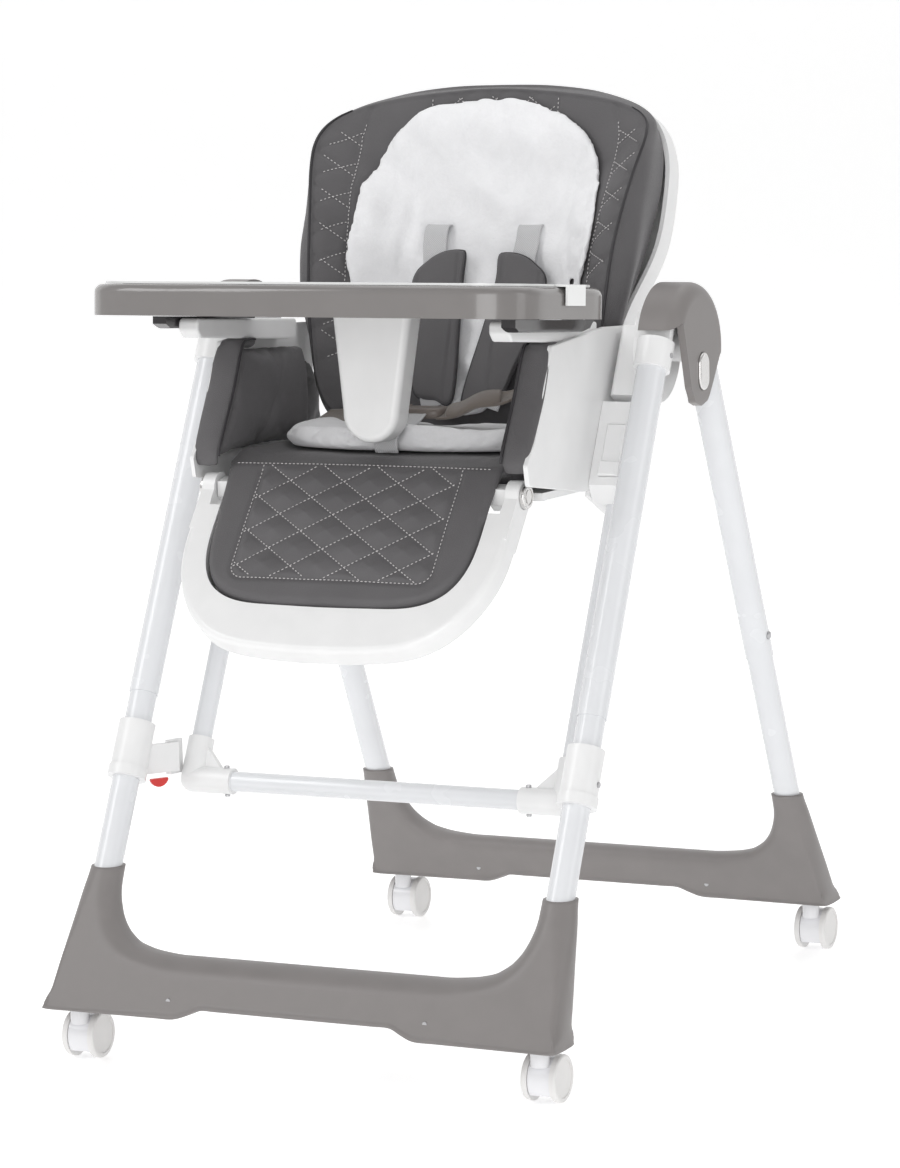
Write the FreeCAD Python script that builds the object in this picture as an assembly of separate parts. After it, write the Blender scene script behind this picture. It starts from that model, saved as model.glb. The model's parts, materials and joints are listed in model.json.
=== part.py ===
import FreeCAD, Part
import math
import os

# Folding baby high chair: A-frame on casters, height-adjustable seat, reclining back,
# swinging footrest and sliding tray.
# Millimetres. X is across the chair, -Y is the side the child faces, Z is up, floor at Z = 0.
# Shapes are laid out about a working Y datum and moved by ORIGIN_SHIFT_Y on export,
# which puts the origin under the middle of the chair.

V = FreeCAD.Vector

ORIGIN_SHIFT_Y = 11.5

# ---- driving dimensions: leg frame ----
LEAN_DEG = 26.27                # lean of all four legs and of the seat rails
APEX_Y = -21.0                  # where the front and rear leg axes would cross
APEX_Z = 872.0
LEG_X = 267.0                   # centre plane of the legs
UPPER_LEG_R = 16.0
LOWER_LEG_R = 15.0
TUBE_WALL = 1.5
RIM_Z = 200.0                   # where a leg enters its foot
JOINT_Z = 376.0                 # where the lower leg tube enters the upper one
INSERT_LEN = 60.0               # how far one tube runs inside the other
FOOT_BOTTOM_Z = 64.0

# ---- hub ----
HUB_Z = 745.0
HUB_R = 72.0                    # grey cap
DISC_R = 60.0                   # white inner disc
DISC_X = (242.0, 248.5)
CAP_X = (250.0, 296.0)
CAP_WALL = 5.0
CAP_PLATE = 8.0
PIVOT_R = 6.0
BUTTON_R = 13.0                 # half-width of the fold button
BUTTON_Z = (713.0, 728.0)       # centres of its round ends
HUB_INSERT_Z = 752.0            # top of the front leg tube, inside its socket
RUNNING_FIT = 0.06              # radial clearance of pins that turn
BODY_GAP = 0.5                  # clearance between pieces that move past each other

# ---- seat rails ----
RAIL_X = 223.0
RAIL_R = 11.0
RAIL_FIT = 0.08
RAIL_Y = -237.0                 # rail axis where it meets the crossbar
RAIL_Z = 279.0
RAIL_TOP_Z = 752.0
SLIDER_X = (200.3, 241.0)
SLIDER_Z = (577.0, 676.0)
BRACKET_Z = (684.0, 757.0)
HEIGHT_STEP = 45.0
HEIGHT_HOLES = 7

# ---- casters ----
CASTER_X = 270.0
CASTER_TRAIL = 20.0
WHEEL_R = 25.0
WHEEL_T = 7.0
HOOD_HALF = 12.0
STEM_R = 5.5
AXLE_R = 3.0

# ---- seat ----
SHELL_X = (195.0, 200.0)
PAN_Z = (597.0, 605.0)
CUSHION_TOP_Z = 640.0
BACK_PIVOT = V(0, -3, 640)
BACK_LEAN_DEG = 17.5
FOOT_PIVOT = V(0, -251, 604)
FOOT_LEAN_DEG = 38.9

# ---- tray ----
TRAY_DATUM = V(0, -300, 793)    # underside of the rim
TRAY_TILT_DEG = 3.4
TRAY_H = 33.0
TRAY_RIM = 27.0                 # width of the rim around the dish
LINER_T = 2.5

TAN = math.tan(math.radians(LEAN_DEG))


# ---------------------------------------------------------------- helpers
def box(x0, x1, y0, y1, z0, z1):
    return Part.makeBox(x1 - x0, y1 - y0, z1 - z0, V(x0, y0, z0))


def rod(start, end, radius):
    axis = end.sub(start)
    return Part.makeCylinder(radius, axis.Length, start, axis)


def tube(start, end, radius, wall):
    return rod(start, end, radius).cut(rod(start, end, radius - wall))


def x_rod(x0, x1, y, z, radius):
    return rod(V(x0, y, z), V(x1, y, z), radius)


def prism(points, direction):
    """Straight-sided block: a polygon swept along a vector."""
    return Part.Face(Part.makePolygon(points + [points[0]])).extrude(direction)


def prism_x(points, x0, x1):
    return prism([V(x0, y, z) for y, z in points], V(x1 - x0, 0, 0))


def prism_y(points, y0, y1):
    return prism([V(x, y0, z) for x, z in points], V(0, y1 - y0, 0))


def prism_z(points, z0, z1):
    return prism([V(x, y, z0) for x, y in points], V(0, 0, z1 - z0))


def spline_face(right_half, place):
    """Face inside a smooth symmetrical outline, closed by a straight line.

    right_half runs from the straight side to the middle of the curved side.
    """
    left_half = [(-a, b) for a, b in reversed(right_half) if a > 0]
    points = [place(a, b) for a, b in right_half + left_half]
    curve = Part.BSplineCurve()
    curve.interpolate(points)
    closing = Part.LineSegment(points[-1], points[0]).toShape()
    return Part.Face(Part.Wire([curve.toShape(), closing]))


def plate_y(right_half, y0, y1):
    """Smooth outline in X and Z, thick along Y."""
    return spline_face(right_half, lambda a, b: V(a, y0, b)).extrude(V(0, y1 - y0, 0))


def plate_z(right_half, z0, z1):
    """Smooth outline in X and Y, thick along Z."""
    return spline_face(right_half, lambda a, b: V(a, b, z0)).extrude(V(0, 0, z1 - z0))


def soften(shape, radius, chosen):
    """Round the edges that the test picks."""
    return shape.makeFillet(radius, [e for e in shape.Edges if chosen(e)])


def fuse(shapes):
    return shapes[0].multiFuse(shapes[1:]).removeSplitter()


def cut(shape, tools):
    for tool in tools:
        shape = shape.cut(tool)
    return shape


def mirrored(shape):
    return shape.mirror(V(0, 0, 0), V(1, 0, 0))


def both(shape):
    return Part.makeCompound([shape, mirrored(shape)])


def tilted(shape, degrees, point):
    """Turn a shape about X at the origin, then carry it to its place."""
    turned = shape.copy()
    turned.rotate(V(0, 0, 0), V(1, 0, 0), degrees)
    turned.translate(point)
    return turned


def export(name, shape):
    moved = shape.copy()
    moved.translate(V(0, ORIGIN_SHIFT_Y, 0))
    moved.exportStep("parts/" + name + ".step")


def export_pair(name, shape):
    export(name + "_right", shape)
    export(name + "_left", mirrored(shape))


def front_leg(z):
    return V(LEG_X, APEX_Y - (APEX_Z - z) * TAN, z)


def rear_leg(z):
    return V(LEG_X, APEX_Y + (APEX_Z - z) * TAN, z)


def rail(z):
    return V(RAIL_X, RAIL_Y + (z - RAIL_Z) * TAN, z)


def on_rail(shape, z):
    """Place a shape built about the Z axis on the right-hand rail."""
    return tilted(shape, -LEAN_DEG, rail(z))


def rail_length(z0, z1):
    return (z1 - z0) / math.cos(math.radians(LEAN_DEG))


# ---------------------------------------------------------------- legs
SNAP_Z = 402.0
SNAP_R = 4.5


def snap_hole(leg):
    centre = leg(SNAP_Z)
    return x_rod(centre.x, centre.x + 20, centre.y, centre.z, SNAP_R + BODY_GAP)


def upper_leg(leg, top_z):
    return tube(leg(JOINT_Z), leg(top_z), UPPER_LEG_R, 1.0)


def lower_leg(leg):
    top = leg(JOINT_Z + INSERT_LEN)
    return tube(leg(RIM_Z - 90), top, LOWER_LEG_R - 0.1, TUBE_WALL)


def snap_button(leg):
    """Spring button that locks the lower leg tube in the upper one."""
    centre = leg(SNAP_Z)
    stud = x_rod(centre.x + 10.5, centre.x + 18.2, centre.y, centre.z, SNAP_R)
    return soften(stud, 1.5, lambda e: e.BoundBox.XMin > centre.x + 18)


# ---------------------------------------------------------------- feet
FOOT_HALF = 299.0
FOOT_BAR_Z = 124.0
FOOT_NOTCH_Z = 70.0
FOOT_SCREW_Z = 78.0
SCREW_R = 2.6


def foot(leg):
    """Moulded foot bar: two risers joined by a low bar, with a raised middle underneath."""
    outer_top = LEG_X + 23
    inner_top = LEG_X - 23
    side = [V(FOOT_HALF, 0, FOOT_BOTTOM_Z - 5), V(outer_top, 0, RIM_Z)]
    arc = Part.Arc(V(inner_top, 0, RIM_Z), V(224, 0, 152), V(158, 0, FOOT_BAR_Z)).toShape()
    arc_left = Part.Arc(V(-158, 0, FOOT_BAR_Z), V(-224, 0, 152), V(-inner_top, 0, RIM_Z)).toShape()
    bottom = [V(-FOOT_HALF, 0, FOOT_BOTTOM_Z - 5), V(-140, 0, FOOT_BOTTOM_Z - 5),
              V(-112, 0, FOOT_NOTCH_Z), V(112, 0, FOOT_NOTCH_Z),
              V(140, 0, FOOT_BOTTOM_Z - 5), V(FOOT_HALF, 0, FOOT_BOTTOM_Z - 5)]
    edges = [Part.makePolygon(side + [V(inner_top, 0, RIM_Z)]), arc,
             Part.makePolygon([V(158, 0, FOOT_BAR_Z), V(-158, 0, FOOT_BAR_Z)]), arc_left,
             Part.makePolygon([V(-inner_top, 0, RIM_Z), V(-outer_top, 0, RIM_Z)] + bottom)]
    outline = Part.Wire([e for piece in edges for e in piece.Edges])
    y_top = leg(RIM_Z).y
    y_low = leg(FOOT_BOTTOM_Z - 5).y
    front_view = Part.Face(outline).extrude(V(0, 400, 0))
    front_view.translate(V(0, (y_top + y_low) / 2 - 200, 0))
    side_view = prism_x([(y_top - 21, RIM_Z), (y_top + 21, RIM_Z),
                         (y_low + 25, FOOT_BOTTOM_Z - 5), (y_low - 25, FOOT_BOTTOM_Z - 5)],
                        -FOOT_HALF, FOOT_HALF)
    body = front_view.common(side_view)
    body = soften(body, 7.0, lambda e: e.BoundBox.ZLength > 120 and e.BoundBox.XLength < 20)
    lip = box(142, FOOT_HALF + 2, y_low - 26.5, y_low + 26.5, FOOT_BOTTOM_Z - 5, FOOT_BOTTOM_Z)
    lip = soften(lip, 6.0, lambda e: e.BoundBox.ZLength > 4)
    body = fuse([body, lip, mirrored(lip)])
    socket = rod(leg(RIM_Z - 92), leg(RIM_Z + 10), LOWER_LEG_R)
    stem = caster_stem_axis(leg)
    stem_bore = rod(stem, stem.add(V(0, 0, 34)), STEM_R + RUNNING_FIT)
    tools = [socket, stem_bore, foot_screw(leg, SCREW_R + 0.3)]
    return cut(body, tools + [mirrored(t) for t in tools])


def caster_stem_axis(leg):
    return V(CASTER_X, leg(FOOT_BOTTOM_Z).y, FOOT_BOTTOM_Z - 10)


def foot_screw(leg, radius):
    """Screw in the front face of a foot, just above the lip."""
    face_y = leg(FOOT_SCREW_Z).y - 24.5
    return rod(V(150, face_y, FOOT_SCREW_Z), V(150, face_y + 12, FOOT_SCREW_Z), radius)


# ---------------------------------------------------------------- casters
def caster_hood(leg):
    """Swivelling hood: a drum between the wheels, open below, with its stem."""
    stem = caster_stem_axis(leg)
    axle_y = stem.y + CASTER_TRAIL
    inner_r = WHEEL_R - 5
    drum = x_rod(CASTER_X - HOOD_HALF, CASTER_X + HOOD_HALF, axle_y, WHEEL_R, WHEEL_R - 1.5)
    hollow = x_rod(CASTER_X - HOOD_HALF + 9, CASTER_X + HOOD_HALF - 9, axle_y, WHEEL_R, inner_r)
    below = box(CASTER_X - 20, CASTER_X + 20, axle_y - 30, axle_y + 30, -5, 9)
    neck = rod(V(CASTER_X, stem.y + 3, 40), V(CASTER_X, stem.y + 3, 57.5), 10)
    shank = rod(V(CASTER_X, stem.y, 50), V(CASTER_X, stem.y, FOOT_BOTTOM_Z + 22), STEM_R)
    body = fuse([drum, neck, shank])
    bore = x_rod(CASTER_X - 20, CASTER_X + 20, axle_y, WHEEL_R, AXLE_R + RUNNING_FIT)
    return cut(body, [hollow, below, bore])


def caster_wheels(leg):
    """Two domed wheels on one axle."""
    axle_y = caster_stem_axis(leg).y + CASTER_TRAIL
    inner = CASTER_X + HOOD_HALF + BODY_GAP
    wheel = x_rod(inner, inner + WHEEL_T, axle_y, WHEEL_R, WHEEL_R)
    wheel = soften(wheel, 2.5, lambda e: e.BoundBox.XMin > inner + WHEEL_T - 0.1)
    dish = x_rod(inner + WHEEL_T - 1, inner + WHEEL_T + 1, axle_y, WHEEL_R, WHEEL_R - 5)
    wheel = wheel.cut(dish)
    axle = x_rod(CASTER_X - HOOD_HALF - 2, CASTER_X + HOOD_HALF + 2, axle_y, WHEEL_R, AXLE_R)
    other = wheel.mirror(V(CASTER_X, 0, 0), V(1, 0, 0))
    return fuse([wheel, axle, other])


# ---------------------------------------------------------------- hub
def front_hub():
    """White half of the hub: leg socket, inner disc and pivot boss."""
    sleeve = rod(front_leg(727), front_leg(756), 20)
    neck = rod(front_leg(727), front_leg(785), 17)
    reach = x_rod(240, 290, APEX_Y, HUB_Z, HUB_R - CAP_WALL - 5)
    sleeve = fuse([sleeve, neck.common(reach)])
    disc = x_rod(DISC_X[0], DISC_X[1], APEX_Y, HUB_Z, DISC_R)
    disc = soften(disc, 2.0, lambda e: True)
    arm = prism_x([(-100, 727), (-45, 715), (-30, 770), (-70, 790)], DISC_X[0], 255)
    arm = arm.common(reach)
    boss = x_rod(DISC_X[0], CAP_X[1] - CAP_PLATE - BODY_GAP, APEX_Y, HUB_Z, 14)
    body = fuse([disc, sleeve, arm, boss])
    bore = rod(front_leg(700), front_leg(HUB_INSERT_Z), UPPER_LEG_R)
    screw = x_rod(283, 292, front_leg(742).y, 742, 3)
    bolt_hole = x_rod(200, 300, APEX_Y, HUB_Z, PIVOT_R)
    return cut(body, [bore, bolt_hole, screw])


def hub_cap():
    """Grey half of the hub: domed cap with a tongue, fixed to the rear leg."""
    dome = x_rod(CAP_X[0], CAP_X[1], APEX_Y, HUB_Z, HUB_R)
    dome = soften(dome, 16.0, lambda e: e.BoundBox.XMin > CAP_X[1] - 1)
    inside = x_rod(CAP_X[0] - 10, CAP_X[1] - CAP_PLATE, APEX_Y, HUB_Z, HUB_R - CAP_WALL)
    inside = soften(inside, 13.0, lambda e: e.BoundBox.XMin > CAP_X[1] - CAP_PLATE - 1)
    shell = dome.cut(inside)
    keep = prism_x([(-100, 764), (-72, 776), (-62, 745), (-50, 705), (-38, 688), (-20, 683),
                    (-2, 688), (12, 705), (34, 735), (60, 752), (60, 830), (-100, 830)],
                   CAP_X[0] - 5, CAP_X[1] + 5)
    keep = soften(keep, 8.0, lambda e: e.BoundBox.XLength > 50 and e.BoundBox.ZMax < 770)
    shell = shell.common(keep)
    socket = rod(rear_leg(700), rear_leg(808), 17.2)
    reach = x_rod(CAP_X[0] - 10, CAP_X[1] - 2, APEX_Y, HUB_Z, HUB_R - 1)
    socket = socket.common(reach)
    hole = rod(rear_leg(690), rear_leg(800), UPPER_LEG_R)
    pocket = button_slot(BUTTON_R + BODY_GAP, CAP_X[1] - 5)
    pin = x_rod(CAP_X[0], CAP_X[1] - 5, APEX_Y, HUB_Z, PIVOT_R + RUNNING_FIT)
    shell = cut(fuse([shell, socket]), [hole, pocket, pin])
    return max(shell.Solids, key=lambda s: s.Volume)


def button_slot(radius, x0):
    """Upright slot shape for the fold button, on the outer face of the cap."""
    y = APEX_Y + 4
    low, high = BUTTON_Z
    ends = [x_rod(x0, CAP_X[1] + 6, y, z, radius) for z in BUTTON_Z]
    return fuse(ends + [box(x0, CAP_X[1] + 6, y - radius, y + radius, low, high)])


def fold_button():
    proud = CAP_X[1] + 3
    button = button_slot(BUTTON_R, CAP_X[1] - 3)
    button = button.cut(box(proud, proud + 10, -100, 100, 600, 800))
    return soften(button, 2.0, lambda e: e.BoundBox.XMin > proud - 0.1)


def hub_bolt():
    head = x_rod(DISC_X[0] - 5, DISC_X[0], APEX_Y, HUB_Z, 10)
    shank = x_rod(DISC_X[0], CAP_X[1] - 5.5, APEX_Y, HUB_Z, PIVOT_R)
    return fuse([head, shank])


# ---------------------------------------------------------------- rails and lower frame
def seat_rail():
    body = tube(rail(RAIL_Z + 14), rail(RAIL_TOP_Z), RAIL_R, TUBE_WALL)
    for step in range(HEIGHT_HOLES):
        z = 620.0 - step * HEIGHT_STEP * math.cos(math.radians(LEAN_DEG))
        body = body.cut(on_rail(rod(V(0, 0, 0), V(0, 20, 0), 4.2), z))
    return body


def elbow():
    corner = V(RAIL_X, RAIL_Y, RAIL_Z)
    up = rod(corner, rail(RAIL_Z + 42), 14.5)
    inward = rod(corner, V(RAIL_X - 50, RAIL_Y, RAIL_Z), 14.5)
    ball = Part.makeSphere(14.5, corner)
    web = prism([V(RAIL_X - 8, RAIL_Y - 3, RAIL_Z), V(RAIL_X - 40, RAIL_Y - 3, RAIL_Z + 8),
                 V(RAIL_X - 9, RAIL_Y + 12, RAIL_Z + 38)], V(0, 6, 0))
    body = fuse([ball, up, inward, web])
    return cut(body, [rod(rail(RAIL_Z + 14), rail(RAIL_Z + 60), RAIL_R),
                      x_rod(RAIL_X - 60, RAIL_X - 20, RAIL_Y, RAIL_Z, RAIL_R)])


def leg_clamp():
    """Sleeve on the lower front leg with a flat arm back to the elbow."""
    sleeve = rod(front_leg(289), front_leg(346), 20)
    step = rod(front_leg(289), front_leg(300), 21.5)
    arm = prism_z([(262, -300), (232, -252), (236.5, -247), (268, -292)], 290, 322)
    pad = prism_z([(240, -258), (236.6, -236), (241, -236), (247, -256)], 286, 324)
    body = fuse([sleeve, step, arm, pad])
    elbow_room = rod(V(RAIL_X, RAIL_Y, RAIL_Z), rail(RAIL_Z + 60), 14.5)
    bore = rod(front_leg(280), front_leg(360), LOWER_LEG_R)
    screw = x_rod(284, 292, front_leg(312).y, 312, 3.2)
    return cut(body, [bore, elbow_room, screw])


def rail_bracket():
    """Block that hangs the rail top from the hub disc."""
    block = box(205.5 - RAIL_X, DISC_X[0] - RAIL_X, -30, 18, 0, rail_length(*BRACKET_Z))
    block = soften(block, 5.0, lambda e: e.BoundBox.ZLength > 60 and e.BoundBox.XMin < -10)
    block = on_rail(block, BRACKET_Z[0])
    web = prism_x([(-50, 700), (-20, 690), (10, 740), (-20, 752)], 236, DISC_X[0])
    body = fuse([block, web])
    head_room = x_rod(DISC_X[0] - 6, DISC_X[0], APEX_Y, HUB_Z, 11)
    return cut(body, [rod(rail(600), rail(RAIL_TOP_Z), RAIL_R), head_room])


def frame_screws():
    """Screw heads of the front frame: clamps, hub sockets, elbows and foot."""
    clamp = x_rod(284, 288.5, front_leg(312).y, 312, 3.0)
    hub = x_rod(283.2, 287.8, front_leg(742).y, 742, 2.8)
    elbow_screw = rod(V(RAIL_X - 42, RAIL_Y, RAIL_Z + 14.5), V(RAIL_X - 42, RAIL_Y, RAIL_Z + 17), 3)
    elbow_low = rod(V(RAIL_X - 42, RAIL_Y, RAIL_Z - 17), V(RAIL_X - 42, RAIL_Y, RAIL_Z - 14.5), 3)
    rail_screw = on_rail(rod(V(0, 14.5, 0), V(0, 17, 0), 3), RAIL_Z + 32)
    heads = [clamp, hub, elbow_screw, elbow_low, rail_screw]
    heads.append(foot_screw(front_leg, SCREW_R))
    return Part.makeCompound(heads + [mirrored(h) for h in heads])


def fold_latch():
    """Red storage catch under the left clamp arm."""
    blade = prism_z([(252, -284), (241, -266), (237.5, -268.5), (248.5, -287)], 283, 285)
    tab = x_rod(-1.5, 1.5, 0, 0, 12)
    tab = tab.common(box(-2, 2, -12, 12, -12, -4))
    tab.rotate(V(0, 0, 0), V(0, 0, 1), 31)
    tab.translate(V(244.5, -276.5, 287.5))
    return mirrored(fuse([blade, tab]))


# ---------------------------------------------------------------- seat
def seat_shell():
    """White seat pan with side walls, open at the front and back."""
    side = [(-266, 616), (-271, 638), (-249, 663), (-203, 759), (-60, 770), (4, 768),
            (14, 752), (20, 640), (8, PAN_Z[0]), (-125, PAN_Z[0])]
    wall = prism_x(side, SHELL_X[0], SHELL_X[1])
    wall = soften(wall, 4.0, lambda e: e.BoundBox.XLength > 4 and e.BoundBox.ZMin > 600)
    wall = soften(wall, 1.5, lambda e: e.BoundBox.XMin > SHELL_X[1] - 0.1)
    pan = box(-SHELL_X[0], SHELL_X[0], -222, 8, PAN_Z[0], PAN_Z[1])
    ear = prism_x([(-262, 596), (-251, 588), (-215, PAN_Z[0]), (-215, PAN_Z[1]), (-245, 616),
                   (-262, 612)], 152, 171)
    rib = box(-150, 150, -120, -112, 585, PAN_Z[0])
    pad = on_rail(box(SHELL_X[0] - RAIL_X, SHELL_X[1] - RAIL_X, -24, 14, 4, 100), SLIDER_Z[0])
    body = fuse([pan, wall, mirrored(wall), ear, mirrored(ear), rib, pad, mirrored(pad)])
    foot_pin = x_rod(-180, 180, FOOT_PIVOT.y, FOOT_PIVOT.z, 5)
    back_pin = x_rod(-210, 210, BACK_PIVOT.y, BACK_PIVOT.z, 5)
    return cut(body, [foot_pin, back_pin])


def slider():
    """Housing that runs on the rail and carries the seat."""
    length = rail_length(*SLIDER_Z)
    block = box(SLIDER_X[0] - RAIL_X, SLIDER_X[1] - RAIL_X, -32, 20, 0, length)
    toe = prism_x([(-40, -10), (-40, 14), (-32, 14), (-10, -1), (-10, -10)], -30, 30)
    block = block.cut(toe)
    block = soften(block, 5.0, lambda e: e.BoundBox.ZLength > 60 and e.BoundBox.XMin > 10)
    block = on_rail(block, SLIDER_Z[0])
    bore = rod(rail(500), rail(760), RAIL_R + RAIL_FIT)
    slot = on_rail(lever_block(BODY_GAP, 7.0), SLIDER_Z[0])
    return cut(block, [bore, slot])


def lever_block(grow, depth):
    return box(-12 - grow, 10 + grow, -34, -32 + depth, 24 - grow, 84 + grow)


def height_lever():
    """Squeeze lever let into the front of the slider."""
    lever = lever_block(0, 2.0)
    lever = fuse([lever, box(-12, 10, -38, -33, 24, 40)])
    lever = soften(lever, 1.5, lambda e: e.BoundBox.YMax < -33.5)
    return on_rail(lever, SLIDER_Z[0])


def arm_rest():
    """White arm that the tray slides on."""
    arm = prism_x([(8, -24), (210, -26), (228, -22), (228, -3), (0, -3), (0, -16)], -12, 12)
    arm = soften(arm, 6.0, lambda e: e.BoundBox.XLength > 20 and e.BoundBox.YMax < 9)
    arm = soften(arm, 3.0, lambda e: e.BoundBox.YLength > 150)
    return tilted(arm, -TRAY_TILT_DEG, V(182.5, -298, TRAY_DATUM.z))


def seat_fasteners():
    """Arm screws, back pivot bolts and footrest pivot pins."""
    arm_screw = x_rod(200, 202.5, -108, 774, 3)
    back_bolt = fuse([x_rod(149, 200, BACK_PIVOT.y, BACK_PIVOT.z, 5),
                      x_rod(200, 203, BACK_PIVOT.y, BACK_PIVOT.z, 8)])
    foot_pin = x_rod(152.5, 183.5, FOOT_PIVOT.y, FOOT_PIVOT.z, 5)
    pieces = [arm_screw, back_bolt, foot_pin]
    return Part.makeCompound(pieces + [mirrored(p) for p in pieces])


def seat_cushion():
    pad = box(-164, 164, -256, -27, 606, CUSHION_TOP_Z)
    pad = soften(pad, 8.0, lambda e: e.BoundBox.ZMin > CUSHION_TOP_Z - 0.1)
    swing = x_rod(-200, 200, FOOT_PIVOT.y, FOOT_PIVOT.z, 31)
    ear_room = box(148, 175, -270, -210, 590, 620)
    return cut(pad, [swing, ear_room, mirrored(ear_room)])


def side_bolsters():
    side = [(-236, 642), (-196, 745), (-70, 752), (-52, 700), (-52, 642)]
    pad = prism_x(side, 166, 194)
    pad = soften(pad, 6.0, lambda e: e.BoundBox.XLength > 20)
    return both(pad)


def insert_seat():
    pad = box(-150, 150, -184, -26, CUSHION_TOP_Z + 0.5, CUSHION_TOP_Z + 20)
    return soften(pad, 8.0, lambda e: True)


BELT_Z = 664.0


def waist_belt():
    side = box(29, 158, -118, -84, BELT_Z, BELT_Z + 5)
    return both(side)


def buckle():
    body = box(-28, 28, -124, -80, BELT_Z - 1, BELT_Z + 12)
    return soften(body, 4.0, lambda e: True)


def crotch_strap():
    upright = box(-14, 14, -189, -186.5, CUSHION_TOP_Z + 0.5, BELT_Z)
    flat = box(-14, 14, -189, -125, BELT_Z, BELT_Z + 2)
    return fuse([upright, flat])


# ---------------------------------------------------------------- backrest, built upright
BACK_OUTLINE = [(150, 6), (164, 90), (178, 155), (203, 220), (209.5, 285), (205, 335),
                (180, 378), (120, 400), (50, 407), (0, 408)]


def inset(outline, amount):
    """Outline pulled in from its sides and its curved end."""
    end = max(abs(b) for a, b in outline)
    sign = 1 if outline[-1][1] > outline[0][1] else -1
    return [(a - amount * min(1, a / 60.0), b - sign * amount * min(1, abs(b) / end) ** 3)
            for a, b in outline]


def in_back(shape):
    return tilted(shape, -BACK_LEAN_DEG, BACK_PIVOT)


def back_shell():
    outer = plate_y(BACK_OUTLINE, 18, 56)
    outer = soften(outer, 12.0, lambda e: e.BoundBox.YMin > 55)
    inner = plate_y(inset(BACK_OUTLINE, 5.0), 17, 51)
    shell = outer.cut(inner)
    shell = fuse([shell, box(-148, 148, 18, 51, 6, 12)])
    cheek = prism_x([(-10, -14), (14, -14), (52, 14), (52, 60), (18, 60), (-12, 14)], 148, 161.5)
    handle = soften(box(-62, 62, 54, 68, 268, 320), 5.0, lambda e: e.BoundBox.YMin > 67)
    handle = handle.cut(box(-45 - BODY_GAP, 45 + BODY_GAP, 57, 80, 276, 308))
    body = fuse([shell, cheek, mirrored(cheek), handle])
    return body.cut(x_rod(-210, 210, 0, 0, 5 + RUNNING_FIT))


def recline_lever():
    lever = box(-45, 45, 58, 67, 277, 296)
    return soften(lever, 3.0, lambda e: e.BoundBox.YMin > 66)


def back_pad():
    pad = plate_y(inset(BACK_OUTLINE, 6.0), 7, 50)
    cheek_room = box(146, 180, 0, 60, 0, 62)
    return cut(pad, [box(-200, 200, 0, 60, 0, 13), cheek_room, mirrored(cheek_room)])


def back_wings():
    wing = prism_y([(158, 130), (171, 130), (199, 220), (205, 285), (200, 330), (176, 366),
                    (150, 380), (150, 200)], -48, 6.5)
    wing = soften(wing, 4.0, lambda e: e.BoundBox.YLength > 40)
    return both(wing)


def insert_back():
    outline = [(112, 30), (120, 120), (137, 200), (144, 270), (136, 325), (108, 362), (60, 384),
               (0, 391)]
    pad = plate_y(outline, -12, 6.5)
    return soften(pad, 5.0, lambda e: e.BoundBox.YMax < -11.9)


def shoulder_harness():
    strap = box(40, 71, -18, -12.5, 60, 238)
    pad = soften(box(33, 78, -27, -16, 84, 205), 4.0, lambda e: e.BoundBox.YMax < -26)
    return both(fuse([strap, pad]))


# ---------------------------------------------------------------- footrest, built hanging down
FOOTREST_OUTER = [(187, -24), (188, -70), (184, -105), (172, -138), (150, -170), (118, -193),
                  (70, -204), (0, -207)]
FOOTREST_INNER = [(160, -12), (158, -70), (152, -106), (138, -130), (112, -146), (60, -152),
                  (0, -153)]


def in_footrest(shape):
    return tilted(shape, -FOOT_LEAN_DEG, FOOT_PIVOT)


def footrest_frame():
    outer = plate_y(FOOTREST_OUTER, -13, 17)
    outer = soften(outer, 7.0, lambda e: e.BoundBox.YLength < 0.1 and e.BoundBox.ZLength > 100)
    arm = box(172, 187, -13, 17, -60, 0)
    ring = x_rod(172, 187, 0, 0, 17)
    room = box(-171.5, 171.5, -40, 40, -30, 30)
    pocket = plate_y(FOOTREST_INNER, -20, 11)
    body = fuse([outer.cut(room), arm, mirrored(arm), ring, mirrored(ring)])
    bore = x_rod(-184, 184, 0, 0, 5 + RUNNING_FIT)
    recess = x_rod(184.6, 190, 0, 0, 13 + BODY_GAP)
    return cut(body, [pocket, bore, recess, mirrored(recess)])


def footrest_button():
    disc = x_rod(187.3, 192.5, 0, 0, 13)
    disc = soften(disc, 2.0, lambda e: e.BoundBox.XMin > 192.4)
    groove = x_rod(191.5, 193, 0, 0, 9).cut(x_rod(191.5, 193, 0, 0, 7))
    return disc.cut(groove)


def footrest_pad():
    shrunk = [(a - min(1, a / 60.0), b + 1) for a, b in FOOTREST_INNER]
    pad = plate_y(shrunk, -17, 10.5)
    return pad.cut(box(-200, 200, -40, 40, -32, 20))


# ---------------------------------------------------------------- tray, built level
TRAY_REAR_Y = 128.0
TRAY_OUTLINE = [(225, TRAY_REAR_Y), (252, 108), (257, 60), (256, -40), (250, -80), (226, -104),
                (180, -114), (90, -126), (0, -130)]


def tray_outline(amount):
    """Tray plan, pulled in all round by an amount."""
    return [(a - amount * min(1, a / 120.0), b - amount * b / 130.0) for a, b in TRAY_OUTLINE]


def in_tray(shape):
    return tilted(shape, -TRAY_TILT_DEG, TRAY_DATUM)


def tray_base():
    rim = plate_z(tray_outline(0), 0, TRAY_H)
    rim = soften(rim, 9.0, lambda e: e.BoundBox.ZMin > TRAY_H - 0.1)
    dish = plate_z(tray_outline(TRAY_RIM), 13, TRAY_H + 1)
    body = rim.cut(dish)
    for side in (1, -1):
        centre = side * 182.5
        channel = box(centre - 13, centre + 13, -100, TRAY_REAR_Y + 5, -1, 2)
        body = body.cut(channel)
    return body


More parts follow.
